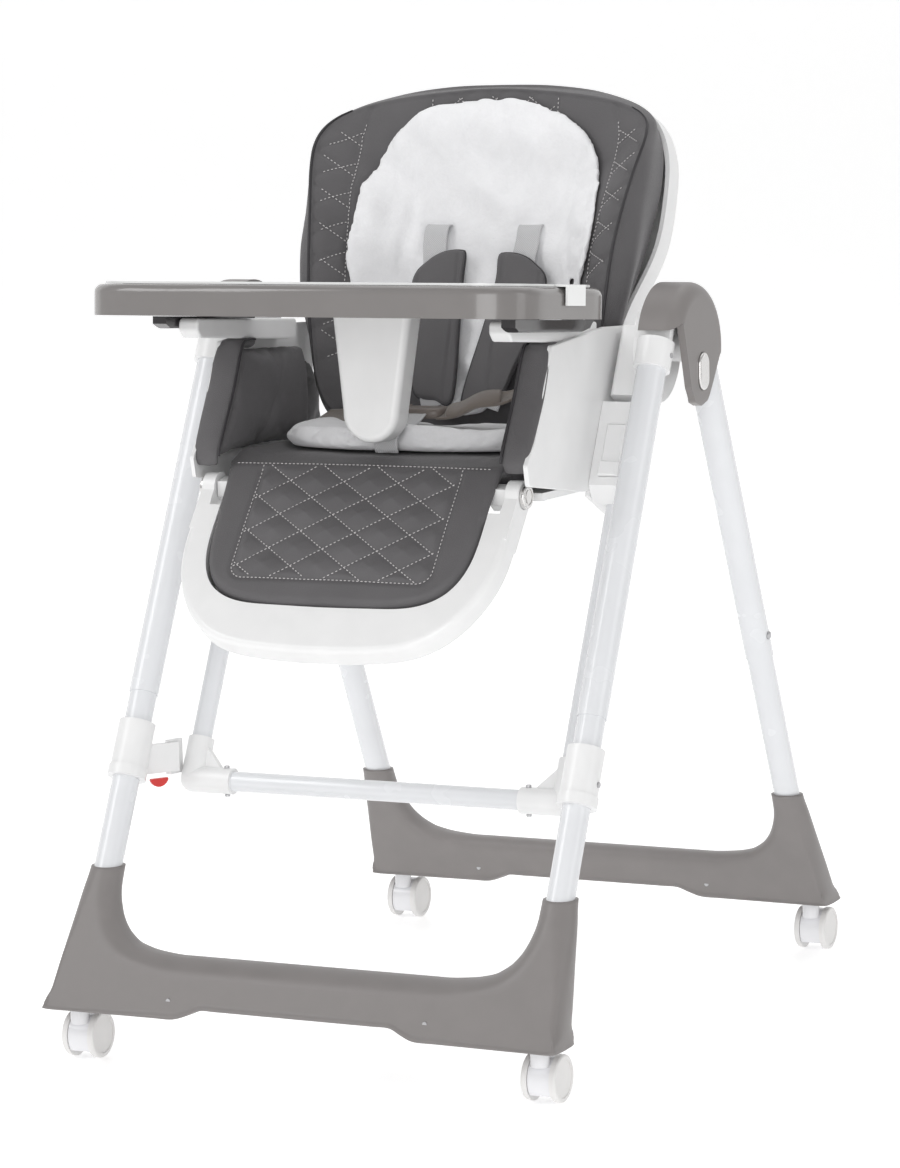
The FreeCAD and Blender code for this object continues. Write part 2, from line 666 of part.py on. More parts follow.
def tray_liner():
    """White lift-off dish with a thumb flap over each side of the rim."""
    flange = plate_z(tray_outline(10), TRAY_H + 0.4, TRAY_H + 0.4 + LINER_T)
    well = plate_z(tray_outline(TRAY_RIM + 0.6), 13.4, TRAY_H + 0.4 + LINER_T)
    space = plate_z(tray_outline(TRAY_RIM + 0.6 + LINER_T), 13.4 + LINER_T, TRAY_H + 10)
    flap_top = box(235, 260, 0, 46, TRAY_H + 0.4, TRAY_H + 0.4 + LINER_T)
    flap_side = box(258, 260.5, 0, 46, 14, TRAY_H + 0.4 + LINER_T)
    flap = soften(fuse([flap_top, flap_side]), 1.0, lambda e: e.BoundBox.YLength > 40
                  and e.BoundBox.XMin > 259 and e.BoundBox.ZMin > 30)
    return fuse([flange, well, flap, mirrored(flap)]).cut(space)


def crotch_post():
    """Tapered post below the tray that keeps the child from sliding out."""
    outline = [V(-46, 0, 0), V(46, 0, 0), V(33, 0, -100)]
    arc = Part.Arc(V(33, 0, -100), V(0, 0, -134), V(-33, 0, -100)).toShape()
    straight = Part.makePolygon(outline)
    last = Part.makePolygon([V(-33, 0, -100), V(-46, 0, 0)])
    post = Part.Face(Part.Wire(straight.Edges + [arc] + last.Edges)).extrude(V(0, 36, 0))
    post = soften(post, 8.0, lambda e: e.BoundBox.YLength < 0.1 and e.BoundBox.ZLength > 5)
    post.translate(V(0, 70, -0.2))
    return post


def tray_trigger():
    """Dark squeeze lever outside each arm that frees the tray."""
    lever = prism_x([(-22, -1), (182, -1), (172, -9), (150, -14), (-10, -14), (-22, -9)], 196, 212)
    lever = soften(lever, 3.0, lambda e: e.BoundBox.YLength > 100 and e.BoundBox.ZMax < -10)
    return lever


# ---------------------------------------------------------------- export
os.makedirs("parts", exist_ok=True)

export("front_legs_upper", both(upper_leg(front_leg, HUB_INSERT_Z)))
export("front_legs_lower", both(lower_leg(front_leg)))
export("front_foot", foot(front_leg))
export_pair("front_hub", front_hub())
export("hub_bolts", both(hub_bolt()))
export("seat_rails", both(seat_rail()))
export("crossbar", x_rod(22 - RAIL_X, RAIL_X - 22, RAIL_Y, RAIL_Z, RAIL_R))
export("elbows", both(elbow()))
export_pair("leg_clamp", leg_clamp())
export("rail_brackets", both(rail_bracket()))
export("frame_screws", frame_screws())
export("fold_latch", fold_latch())

export("rear_legs_upper", both(upper_leg(rear_leg, 799).cut(snap_hole(rear_leg))))
export("rear_legs_lower", both(lower_leg(rear_leg).cut(snap_hole(rear_leg))))
export("rear_foot", foot(rear_leg))
export("rear_foot_screws", both(foot_screw(rear_leg, SCREW_R)))
export_pair("hub_cap", hub_cap())
export_pair("fold_button", fold_button())
export_pair("leg_snap", snap_button(rear_leg))

for end, leg_line in (("front", front_leg), ("rear", rear_leg)):
    export_pair("caster_hood_" + end, caster_hood(leg_line))
    export_pair("caster_wheels_" + end, caster_wheels(leg_line))

export("seat_shell", seat_shell())
export_pair("slider", slider())
export_pair("height_lever", height_lever())
export("arm_rests", both(arm_rest()))
export("seat_fasteners", seat_fasteners())
export("seat_cushion", seat_cushion())
export("side_bolsters", side_bolsters())
export("insert_seat", insert_seat())
export("waist_belt", waist_belt())
export("buckle", buckle())
export("crotch_strap", crotch_strap())

export("back_shell", in_back(back_shell()))
export("recline_lever", in_back(recline_lever()))
export("back_pad", in_back(back_pad()))
export("back_wings", in_back(back_wings()))
export("insert_back", in_back(insert_back()))
export("shoulder_harness", in_back(shoulder_harness()))

export("footrest_frame", in_footrest(footrest_frame()))
export("footrest_pad", in_footrest(footrest_pad()))
export_pair("footrest_button", in_footrest(footrest_button()))

export("tray_base", in_tray(tray_base()))
export("tray_liner", in_tray(tray_liner()))
export("crotch_post", in_tray(crotch_post()))
export_pair("tray_trigger", in_tray(tray_trigger()))
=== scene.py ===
"""Baby high chair: materials, padded covers, straps, light and camera round the CAD frame."""
import json
import math

import bmesh
import bpy
import numpy as np
from mathutils import Matrix, Vector, noise


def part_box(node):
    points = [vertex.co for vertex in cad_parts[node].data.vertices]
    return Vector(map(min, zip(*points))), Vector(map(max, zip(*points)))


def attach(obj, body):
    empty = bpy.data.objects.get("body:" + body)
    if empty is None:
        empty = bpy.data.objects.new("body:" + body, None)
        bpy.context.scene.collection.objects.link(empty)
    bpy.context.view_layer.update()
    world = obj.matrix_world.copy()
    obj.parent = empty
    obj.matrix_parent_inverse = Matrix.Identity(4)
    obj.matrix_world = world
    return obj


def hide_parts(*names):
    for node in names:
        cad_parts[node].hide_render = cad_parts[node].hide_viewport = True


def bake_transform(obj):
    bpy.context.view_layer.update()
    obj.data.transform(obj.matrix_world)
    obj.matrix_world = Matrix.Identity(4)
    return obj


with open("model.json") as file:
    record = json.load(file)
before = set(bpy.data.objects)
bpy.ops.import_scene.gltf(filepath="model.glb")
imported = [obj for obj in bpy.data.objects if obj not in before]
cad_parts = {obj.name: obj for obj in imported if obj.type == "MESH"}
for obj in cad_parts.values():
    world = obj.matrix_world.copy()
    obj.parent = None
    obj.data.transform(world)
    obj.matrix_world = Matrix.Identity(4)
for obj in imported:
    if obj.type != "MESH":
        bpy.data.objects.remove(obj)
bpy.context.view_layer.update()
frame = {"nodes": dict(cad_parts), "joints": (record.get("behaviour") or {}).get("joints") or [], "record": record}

MM = 0.001
HINGES = {joint["name"]: Vector(joint["pos_m"]) for joint in frame["joints"] if "pos_m" in joint}

# ---- places, from the frame ----
BACK_LEAN_DEG = 17.5
FOOT_LEAN_DEG = 38.9
BACK_HINGE = HINGES["recline"]
FOOT_HINGE = HINGES["footrest_tilt"]
CUSHION_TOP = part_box("seat_cushion")[1].z / MM
CUSHION_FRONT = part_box("seat_cushion")[0].y / MM
CUSHION_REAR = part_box("seat_cushion")[1].y / MM
PUFF_FRAMES = 20


def working_frame(origin, lean_deg=0.0):
    """Millimetre frame at a point: local X across, Z up the leaning panel, -Y towards the child."""
    lean = Matrix.Rotation(math.radians(-lean_deg), 4, "X")
    return Matrix.Translation(origin) @ lean @ Matrix.Scale(MM, 4)


CHAIR = working_frame((0, 0, 0))
BACK = working_frame(BACK_HINGE, BACK_LEAN_DEG)
FOOTREST = working_frame(FOOT_HINGE, FOOT_LEAN_DEG)


# ---------------------------------------------------------------- curves and meshes
def smooth_path(points, count, closed=False):
    """Evenly spaced points on a Catmull-Rom curve through the given ones."""
    p = np.array(points, float)
    if closed:
        p = np.vstack([p[-1], p, p[0], p[1]])
    else:
        p = np.vstack([2 * p[0] - p[1], p, 2 * p[-1] - p[-2]])
    t = np.linspace(0, 1, 24, endpoint=False)[:, None]
    spans = []
    for a, b, c, d in zip(p[:-3], p[1:-2], p[2:-1], p[3:]):
        spans.append(0.5 * (2 * b + (c - a) * t + (2 * a - 5 * b + 4 * c - d) * t ** 2
                            + (3 * b - a - 3 * c + d) * t ** 3))
    dense = np.vstack(spans + [p[-2][None, :]])
    along = np.concatenate([[0], np.cumsum(np.linalg.norm(np.diff(dense, axis=0), axis=1))])
    wanted = np.linspace(0, along[-1], count + 1 if closed else count)
    even = np.stack([np.interp(wanted, along, dense[:, k]) for k in range(p.shape[1])], 1)
    return even[:-1] if closed else even


def symmetric_loop(half, count):
    """Closed loop from its right half, listed from the bottom centre up to the top centre."""
    left = [(-a, b) for a, b in reversed(half) if a > 0.01]
    return smooth_path(list(half) + left, count, closed=True)


def outward_faces(mesh):
    shape = bmesh.new()
    shape.from_mesh(mesh)
    bmesh.ops.recalc_face_normals(shape, faces=shape.faces)
    shape.to_mesh(mesh)
    shape.free()


def new_object(name, verts, faces, matrix, material):
    mesh = bpy.data.meshes.new(name)
    mesh.from_pydata([tuple(v) for v in np.asarray(verts, float)], [], faces)
    mesh.transform(matrix)
    outward_faces(mesh)
    mesh.polygons.foreach_set("use_smooth", [True] * len(mesh.polygons))
    mesh.update()
    obj = bpy.data.objects.new(name, mesh)
    bpy.context.scene.collection.objects.link(obj)
    mesh.materials.append(material)
    return obj


def ring_faces(rings, around, closed_ends=True):
    """Quads between rings of vertices; the two end rings close on one vertex each."""
    faces = []
    for k in range(rings - 1):
        for i in range(around):
            j = (i + 1) % around
            faces.append((k * around + i, k * around + j, (k + 1) * around + j,
                          (k + 1) * around + i))
    if closed_ends:
        first = rings * around
        last = (rings - 1) * around
        for i in range(around):
            j = (i + 1) % around
            faces.append((first, j, i))
            faces.append((first + 1, last + i, last + j))
    return faces


def pad(name, loop, centre, front, back, matrix, material, edge=12.0, rings=40):
    """Closed, crowned pad over a loop in its local X-Z plane.

    front(a, b) and back(a, b) give local Y of the two faces, and edge is how far in from the
    loop they round over."""
    loop = np.asarray(loop, float)
    centre = np.asarray(centre, float)
    inward = centre - loop
    reach = np.linalg.norm(inward, axis=1, keepdims=True)
    inward = inward / reach
    turns = np.linspace(0, math.pi / 2, 9)
    layers = []

    def sheet(face, other, distances, shares):
        rows = []
        for distance, share in zip(distances, shares):
            flat = loop + inward * np.minimum(distance, reach - 0.01)
            near = face(flat[:, 0], flat[:, 1])
            far = other(flat[:, 0], flat[:, 1])
            middle = (near + far) / 2
            y = middle + (near - middle) * share
            rows.append(np.stack([flat[:, 0], y, flat[:, 1]], 1))
        return rows

    edge_in = [np.full((len(loop), 1), edge * (1 - math.cos(t))) for t in turns]
    edge_up = [math.sin(t) for t in turns]
    inner = [edge + (reach - edge) * k / rings for k in range(1, rings)]
    distances = edge_in + inner
    shares = edge_up + [1.0] * len(inner)
    front_rows = sheet(front, back, distances, shares)[::-1]
    layers.extend(front_rows)
    layers.extend(sheet(back, front, distances[1:], shares[1:]))
    ends = [[centre[0], float(face(centre[:1], centre[1:])[0]), centre[1]]
            for face in (front, back)]
    verts = np.vstack(layers + [np.array(ends)])
    around = len(loop)
    return new_object(name, verts, ring_faces(len(layers), around), matrix, material)


def puff(obj, held, voxel=0.005, cap=0.005, slack=0.03, pressure=4.0):
    """Fills a closed cover with air as cloth, its side facing held fixed, then sets the shape."""
    scene = bpy.context.scene
    even = obj.modifiers.new("even", "REMESH")
    even.mode = "VOXEL"
    even.voxel_size = voxel
    even.use_smooth_shade = True
    evaluated = obj.evaluated_get(bpy.context.evaluated_depsgraph_get())
    obj.data = bpy.data.meshes.new_from_object(evaluated)
    obj.modifiers.remove(even)
    mesh = obj.data
    count = len(mesh.vertices)
    start = np.empty(count * 3)
    mesh.vertices.foreach_get("co", start)
    normals = np.empty(count * 3)
    mesh.vertices.foreach_get("normal", normals)
    facing = normals.reshape(-1, 3) @ np.asarray(held, float)
    pinned = obj.vertex_groups.new(name="held")
    pinned.add([int(k) for k in np.nonzero(facing > 0.35)[0]], 1.0, "REPLACE")
    cloth = obj.modifiers.new("air", "CLOTH")
    cloth.settings.quality = 6
    cloth.settings.mass = 0.2
    cloth.settings.tension_stiffness = 15
    cloth.settings.compression_stiffness = 15
    cloth.settings.shear_stiffness = 5
    cloth.settings.bending_stiffness = 0.2
    cloth.settings.air_damping = 2.0
    cloth.settings.vertex_group_mass = "held"
    cloth.settings.shrink_min = -slack
    cloth.settings.use_pressure = True
    cloth.settings.uniform_pressure_force = pressure
    cloth.settings.effector_weights.gravity = 0
    cloth.point_cache.frame_start = 1
    cloth.point_cache.frame_end = PUFF_FRAMES
    for step in range(1, PUFF_FRAMES + 1):
        scene.frame_set(step)
    evaluated = obj.evaluated_get(bpy.context.evaluated_depsgraph_get())
    end = np.empty(count * 3)
    evaluated.data.vertices.foreach_get("co", end)
    moved = (end - start).reshape(-1, 3)
    length = np.linalg.norm(moved, axis=1, keepdims=True)
    moved *= cap * np.tanh(length / cap) / np.maximum(length, 1e-9)
    obj.modifiers.remove(cloth)
    obj.vertex_groups.clear()
    mesh.vertices.foreach_set("co", start + moved.ravel())
    mesh.polygons.foreach_set("use_smooth", [True] * len(mesh.polygons))
    mesh.update()
    obj.modifiers.new("fine", "SUBSURF").levels = 1
    obj.modifiers["fine"].render_levels = 1
    scene.frame_set(1)


def side_vectors(path, side):
    """Unit tangents, sideways vectors and normals along a path."""
    tangent = np.gradient(path, axis=0)
    tangent /= np.linalg.norm(tangent, axis=1, keepdims=True)
    side = np.broadcast_to(np.asarray(side, float), path.shape)
    across = side - tangent * np.sum(side * tangent, axis=1, keepdims=True)
    across /= np.linalg.norm(across, axis=1, keepdims=True)
    return tangent, across, np.cross(tangent, across)


def sweep(name, path, section, matrix, material, side=(0, 1, 0), closed=False, grow=None):
    """Closed skin of a section carried along a path. Section points are (across, normal)."""
    path = np.asarray(path, float)
    if closed:
        padded_path = np.vstack([path[-2:], path, path[:2]])
        _, across, normal = side_vectors(padded_path, side)
        across, normal = across[2:-2], normal[2:-2]
    else:
        _, across, normal = side_vectors(path, side)
    section = np.asarray(section, float)
    grow = np.ones(len(path)) if grow is None else np.asarray(grow)
    rows = (path[:, None, :] + (section[None, :, :1] * grow[:, None, None]) * across[:, None, :]
            + section[None, :, 1:] * normal[:, None, :])
    around = len(section)
    verts = rows.reshape(-1, 3)
    if closed:
        faces = ring_faces(len(path), around, closed_ends=False)
        top = (len(path) - 1) * around
        faces += [(top + i, top + (i + 1) % around, (i + 1) % around, i) for i in range(around)]
        return new_object(name, verts, faces, matrix, material)
    ends = np.stack([path[0], path[-1]])
    verts = np.vstack([verts, ends])
    return new_object(name, verts, ring_faces(len(path), around), matrix, material)


def round_section(radius, count=10):
    return [(radius * math.cos(2 * math.pi * k / count), radius * math.sin(2 * math.pi * k / count))
            for k in range(count)]


def strap_section(width, thickness):
    """Flat webbing: a thin oval-edged strip, thicker at its two selvedges."""
    w, t = width / 2, thickness / 2
    return [(-w, 0), (-w + t * 0.6, -t), (-w + 3.0, -t), (-w + 3.6, -t * 0.7), (0, -t * 0.7),
            (w - 3.6, -t * 0.7), (w - 3.0, -t), (w - t * 0.6, -t), (w, 0), (w - t * 0.6, t),
            (w - 3.0, t), (w - 3.6, t * 0.7), (0, t * 0.7), (-w + 3.6, t * 0.7), (-w + 3.0, t),
            (-w + t * 0.6, t)]


def stitches(name, paths, normal_of, matrix, material, pitch=5.0, length=3.2, radius=0.45,
             lift=0.25):
    """One mesh of separate thread stitches laid along paths of local points."""
    verts, faces = [], []
    ring = [(math.cos(2 * math.pi * k / 6), math.sin(2 * math.pi * k / 6)) for k in range(6)]
    stations = [(-0.5, 0.35), (-0.3, 1.0), (0.3, 1.0), (0.5, 0.35)]
    for path in paths:
        path = np.asarray(path, float)
        steps = np.linalg.norm(np.diff(path, axis=0), axis=1)
        along = np.concatenate([[0], np.cumsum(steps)])
        for where in np.arange(pitch / 2, along[-1] - length / 2, pitch):
            at = np.array([np.interp(where, along, path[:, k]) for k in range(3)])
            ahead = np.array([np.interp(where + 0.8, along, path[:, k]) for k in range(3)])
            tangent = ahead - at
            size = np.linalg.norm(tangent)
            if size < 1e-6:
                continue
            tangent /= size
            up = np.asarray(normal_of(at), float)
            up -= tangent * float(up @ tangent)
            up /= np.linalg.norm(up)
            across = np.cross(tangent, up)
            first = len(verts)
            for offset, share in stations:
                for c, s in ring:
                    verts.append(at + tangent * offset * length + up * lift
                                 + (across * c * 1.15 + up * s) * radius * share)
            for k in range(3):
                for i in range(6):
                    j = (i + 1) % 6
                    faces.append((first + k * 6 + i, first + k * 6 + j,
                                  first + (k + 1) * 6 + j, first + (k + 1) * 6 + i))
            faces.append(tuple(first + i for i in reversed(range(6))))
            faces.append(tuple(first + 18 + i for i in range(6)))
    return new_object(name, verts, faces, matrix, material)


def smoothstep(x, low, high):
    t = np.clip((np.asarray(x, float) - low) / (high - low), 0, 1)
    return t * t * (3 - 2 * t)


def ripple(a, b, size, seed=0.0):
    """Gentle unevenness of a stuffed cover, -1 to 1."""
    values = [noise.noise(Vector((x / size + seed, y / size, seed * 1.7)))
              for x, y in zip(np.ravel(a), np.ravel(b))]
    return np.array(values).reshape(np.shape(a))


# ---------------------------------------------------------------- materials
def start_material(name, colour, roughness, **sockets):
    mat = bpy.data.materials.new(name)
    mat.use_nodes = True
    nodes = mat.node_tree.nodes
    shader = nodes["Principled BSDF"]
    shader.inputs["Base Color"].default_value = (*colour, 1)
    shader.inputs["Roughness"].default_value = roughness
    for socket, value in sockets.items():
        shader.inputs[socket.replace("_", " ")].default_value = value
    coords = nodes.new("ShaderNodeTexCoord")
    return mat, nodes, mat.node_tree.links, shader, coords.outputs["Object"]


def noise_node(nodes, links, vector, scale, detail=3.0, rough=0.55, distortion=0.0):
    tex = nodes.new("ShaderNodeTexNoise")
    tex.inputs["Scale"].default_value = scale
    tex.inputs["Detail"].default_value = detail
    tex.inputs["Roughness"].default_value = rough
    tex.inputs["Distortion"].default_value = distortion
    links.new(vector, tex.inputs["Vector"])
    return tex.outputs["Fac"]


def remap(nodes, links, value, low, high, to_low, to_high):
    node = nodes.new("ShaderNodeMapRange")
    for socket, number in zip(("From Min", "From Max", "To Min", "To Max"),
                              (low, high, to_low, to_high)):
        node.inputs[socket].default_value = number
    links.new(value, node.inputs["Value"])
    return node.outputs["Result"]


def maths(nodes, links, operation, first, second):
    node = nodes.new("ShaderNodeMath")
    node.operation = operation
    for socket, value in zip(node.inputs, (first, second)):
        if isinstance(value, (int, float)):
            socket.default_value = value
        else:
            links.new(value, socket)
    return node.outputs[0]


def colour_drift(nodes, links, shader, colour, value, amount):
    """Base colour that drifts a little lighter and darker with a value."""
    ramp = nodes.new("ShaderNodeValToRGB")
    for element, share in zip(ramp.color_ramp.elements, (1 - amount, 1 + amount)):
        element.color = (*[min(1.0, c * share) for c in colour], 1)
    ramp.color_ramp.elements[0].position = 0.3
    ramp.color_ramp.elements[1].position = 0.7
    links.new(value, ramp.inputs["Fac"])
    links.new(ramp.outputs["Color"], shader.inputs["Base Color"])


def add_bumps(nodes, links, shader, layers):
    """Stacks bump layers, each (height, distance in metres, strength)."""
    below = None
    for height, distance, strength in layers:
        bump = nodes.new("ShaderNodeBump")
        bump.inputs["Distance"].default_value = distance
        bump.inputs["Strength"].default_value = strength
        links.new(height, bump.inputs["Height"])
        if below is not None:
            links.new(below, bump.inputs["Normal"])
        below = bump.outputs["Normal"]
    links.new(below, shader.inputs["Normal"])


def moulded(name, colour, roughness, coat=0.0, texture=0.00006, drift=0.018, grain=1500.0):
    """Injection-moulded plastic: fine spark texture, soft sink marks and faint handling smears."""
    mat, nodes, links, shader, place = start_material(
        name, colour, roughness, Coat_Weight=coat, Coat_Roughness=0.08, IOR=1.46)
    fine = noise_node(nodes, links, place, grain, 2.0)
    sink = noise_node(nodes, links, place, 14.0, 1.0)
    smear = noise_node(nodes, links, place, 30.0, 2.0, 0.5)
    colour_drift(nodes, links, shader, colour, smear, drift)
    links.new(remap(nodes, links, smear, 0.3, 0.7, roughness * 0.92, roughness * 1.1),
              shader.inputs["Roughness"])
    add_bumps(nodes, links, shader, [(sink, 0.0004, 0.1), (fine, texture, 0.5)])
    return mat


def leatherette(name, colour):
    """Coated fabric: pebbled grain with creases between the pebbles, and a dull satin sheen."""
    mat, nodes, links, shader, place = start_material(
        name, colour, 0.5, Specular_IOR_Level=0.42, Sheen_Weight=0.08, Sheen_Roughness=0.5)
    pebble = nodes.new("ShaderNodeTexVoronoi")
    pebble.feature = "DISTANCE_TO_EDGE"
    pebble.inputs["Scale"].default_value = 620.0
    warp = nodes.new("ShaderNodeVectorMath")
    warp.operation = "MULTIPLY_ADD"
    wobble = nodes.new("ShaderNodeTexNoise")
    wobble.inputs["Scale"].default_value = 260.0
    links.new(place, wobble.inputs["Vector"])
    links.new(wobble.outputs["Color"], warp.inputs[0])
    warp.inputs[1].default_value = (0.0011, 0.0011, 0.0011)
    links.new(place, warp.inputs[2])
    links.new(warp.outputs[0], pebble.inputs["Vector"])
    grain = remap(nodes, links, pebble.outputs["Distance"], 0.0, 0.28, 0.0, 1.0)
    crease = noise_node(nodes, links, place, 90.0, 5.0, 0.62, 1.4)
    large = noise_node(nodes, links, place, 16.0, 2.0)
    colour_drift(nodes, links, shader, colour, large, 0.07)
    links.new(remap(nodes, links, grain, 0.0, 1.0, 0.62, 0.44), shader.inputs["Roughness"])
    add_bumps(nodes, links, shader, [(large, 0.003, 0.15), (crease, 0.0006, 0.3),
                                     (grain, 0.00016, 0.75)])
    return mat


def plush(name, colour):
    """Short-pile fleece: soft tufts, loose fibre and a bright sheen at the edges."""
    mat, nodes, links, shader, place = start_material(
        name, colour, 0.95, Specular_IOR_Level=0.15, Sheen_Weight=0.45, Sheen_Roughness=0.6)
    tuft = noise_node(nodes, links, place, 320.0, 4.0, 0.7, 0.6)
    fibre = noise_node(nodes, links, place, 1300.0, 3.0, 0.7)
    nap = noise_node(nodes, links, place, 38.0, 3.0, 0.6, 0.9)
    both_scales = maths(nodes, links, "ADD", maths(nodes, links, "MULTIPLY", tuft, 0.45),
                        maths(nodes, links, "MULTIPLY", nap, 0.55))
    colour_drift(nodes, links, shader, colour, both_scales, 0.045)
    add_bumps(nodes, links, shader, [(nap, 0.004, 0.22), (tuft, 0.0012, 0.5),
                                     (fibre, 0.0004, 0.6)])
    return mat


def woven(name, colour, period, sheen=0.2):
    """Tight webbing: rows of raised yarns crossing rows of flat ones."""
    mat, nodes, links, shader, place = start_material(
        name, colour, 0.72, Specular_IOR_Level=0.3, Sheen_Weight=sheen, Sheen_Roughness=0.4)
    split = nodes.new("ShaderNodeSeparateXYZ")
    links.new(place, split.inputs[0])
    turn = 2 * math.pi / period
    weft = maths(nodes, links, "SINE", maths(nodes, links, "MULTIPLY", split.outputs["X"], turn), 0)
    length_wise = maths(nodes, links, "ADD", split.outputs["Z"], split.outputs["Y"])
    warp = maths(nodes, links, "SINE",
                 maths(nodes, links, "MULTIPLY", length_wise, turn * 0.8), 0)
    weave = maths(nodes, links, "MULTIPLY", weft, warp)
    fibre = noise_node(nodes, links, place, 900.0, 3.0, 0.6)
    colour_drift(nodes, links, shader, colour, remap(nodes, links, weave, -1, 1, 0.2, 0.8), 0.12)
    add_bumps(nodes, links, shader, [(weave, 0.0005, 0.5), (fibre, 0.0003, 0.4)])
    return mat


def painted(name, colour, roughness):
    """Powder coat on steel tube: faint orange peel under a clear gloss."""
    mat, nodes, links, shader, place = start_material(
        name, colour, roughness, Coat_Weight=0.35, Coat_Roughness=0.06)
    peel = noise_node(nodes, links, place, 420.0, 2.0)
    drift = noise_node(nodes, links, place, 20.0, 2.0)
    colour_drift(nodes, links, shader, colour, drift, 0.015)
    links.new(remap(nodes, links, drift, 0.3, 0.7, roughness * 0.85, roughness * 1.2),
              shader.inputs["Roughness"])
    add_bumps(nodes, links, shader, [(peel, 0.00016, 0.35)])
    return mat


def metal(name, colour, roughness, brushed):
    """Bright plated or brushed metal with fine scratches."""
    mat, nodes, links, shader, place = start_material(name, colour, roughness, Metallic=1.0)
    stretch = nodes.new("ShaderNodeMapping")
    stretch.inputs["Scale"].default_value = (1.0, 1.0, 22.0) if brushed else (1.0, 1.0, 1.0)
    links.new(place, stretch.inputs["Vector"])
    lines = noise_node(nodes, links, stretch.outputs["Vector"], 300.0, 4.0, 0.6)
    colour_drift(nodes, links, shader, colour, lines, 0.06)
    links.new(remap(nodes, links, lines, 0.3, 0.7, roughness * 0.8, roughness * 1.35),
              shader.inputs["Roughness"])
    add_bumps(nodes, links, shader, [(lines, 0.00006, 0.4)])
    return mat


def thread(name, colour):
    """Polyester sewing thread with its two plies twisted."""
    mat, nodes, links, shader, place = start_material(name, colour, 0.55, Sheen_Weight=0.3)
    ply = noise_node(nodes, links, place, 2200.0, 2.0)
    colour_drift(nodes, links, shader, colour, ply, 0.15)
    add_bumps(nodes, links, shader, [(ply, 0.0002, 0.6)])
    return mat


MATERIALS = {
    "white_tube": painted("white_tube", (0.76, 0.77, 0.79), 0.24),
    "grey_plastic": moulded("grey_plastic", (0.225, 0.21, 0.205), 0.4, texture=0.00012, drift=0.03),
    "white_plastic": moulded("white_plastic", (0.83, 0.83, 0.83), 0.3, coat=0.1),
    "white_gloss": moulded("white_gloss", (0.86, 0.865, 0.86), 0.16, coat=0.5, texture=0.00002),
    "grey_gloss": moulded("grey_gloss", (0.2, 0.189, 0.184), 0.22, coat=0.5, texture=0.00002),
    "dark_gloss": moulded("dark_gloss", (0.035, 0.033, 0.035), 0.12, coat=0.6, texture=0.00001),
    "steel": metal("steel", (0.5, 0.5, 0.51), 0.3, brushed=True),
    "silver": metal("silver", (0.72, 0.71, 0.7), 0.2, brushed=False),
    "red_plastic": moulded("red_plastic", (0.62, 0.03, 0.025), 0.3, coat=0.2),
    "caster_white": moulded("caster_white", (0.82, 0.82, 0.84), 0.22, coat=0.4),
    "wheel_white": moulded("wheel_white", (0.78, 0.77, 0.76), 0.35, texture=0.0002),
    "leatherette": leatherette("leatherette", (0.108, 0.104, 0.108)),
    "plush": plush("plush", (0.9, 0.9, 0.915)),
    "strap_grey": woven("strap_grey", (0.6, 0.6, 0.61), 0.0026),
    "belt_taupe": woven("belt_taupe", (0.2, 0.172, 0.152), 0.0022, sheen=0.35),
    "buckle_taupe": moulded("buckle_taupe", (0.2, 0.172, 0.155), 0.35),
}
THREAD = thread("thread_light", (0.62, 0.6, 0.6))
PIPING = moulded("piping_vinyl", (0.035, 0.033, 0.036), 0.38, texture=0.0001, drift=0.1)

SLOT_OF = {part["node"]: part["material_slot"] for part in frame["record"]["subparts"]}
for node_name, node in frame["nodes"].items():
    node.data.materials.clear()
    node.data.materials.append(MATERIALS[SLOT_OF[node_name]])

LEATHER = MATERIALS["leatherette"]


def finish_piece(obj, body, replaced=(), blended=None):
    """Hides the CAD parts a piece stands for, then parents it to the body it rides on, or bakes its place into the
    mesh when it is blended.
    """
    if replaced:
        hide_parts(*replaced)
    if blended:
        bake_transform(obj)
    else:
        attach(obj, body)
    return obj


# ---------------------------------------------------------------- footrest pad
PAD_HALF = 161.0
PAD_TOP = 25.0
PAD_BOTTOM = -151.0
QUILT_HALF = 118.0
QUILT_BOTTOM = -123.0
QUILT_CORNER = 16.0
DIAMOND = (64.0, 43.0)
SEAM_Z = 22.0
pad_half = [(0, PAD_BOTTOM - 1), (70, PAD_BOTTOM), (112, PAD_BOTTOM + 8), (136, -128), (151, -102),
            (157, -64), (158, -20), (160, 10), (PAD_HALF, PAD_TOP - 3), (156, PAD_TOP),
            (100, PAD_TOP + 0.5), (0, PAD_TOP + 0.5)]
pad_loop = symmetric_loop(pad_half, 300)


def quilt_inside(a, b):
    """Distance inside the quilted panel's rounded outline, negative outside it."""
    side = QUILT_HALF - np.abs(a) * 1.0
    low = b - QUILT_BOTTOM
    x = np.maximum(QUILT_CORNER - side, 0)
    y = np.maximum(QUILT_CORNER - low, 0)
    return np.where((x > 0) & (y > 0), QUILT_CORNER - np.hypot(x, y), np.minimum(side, low))


def quilt_puff(a, b):
    """Pillowed height of the panel between its channels, in millimetres."""
    inside = quilt_inside(a, b)
    rows = [np.abs((a / DIAMOND[0] + s * b / DIAMOND[1] + 0.25)
                   - np.round(a / DIAMOND[0] + s * b / DIAMOND[1] + 0.25)) * 2 for s in (1, -1)]
    pillow = np.sqrt(np.clip(rows[0] * rows[1], 0, 1))
    top_fade = smoothstep(SEAM_Z - b, 2, 14)
    share = smoothstep(inside, 0, 9) * top_fade
    border = np.exp(-(inside / 3.0) ** 2) * top_fade
    return share * (5.6 * pillow - 1.6) - 1.8 * border


def footrest_front(a, b):
    crown = 5.0 * (1 - (a / 175.0) ** 2) * (1 - ((b + 63) / 120.0) ** 2)
    seam = np.exp(-((b - SEAM_Z) / 2.6) ** 2)
    return -16.5 - crown - quilt_puff(a, b) + 1.6 * seam - 0.5 * ripple(a, b, 45.0, 3.0)


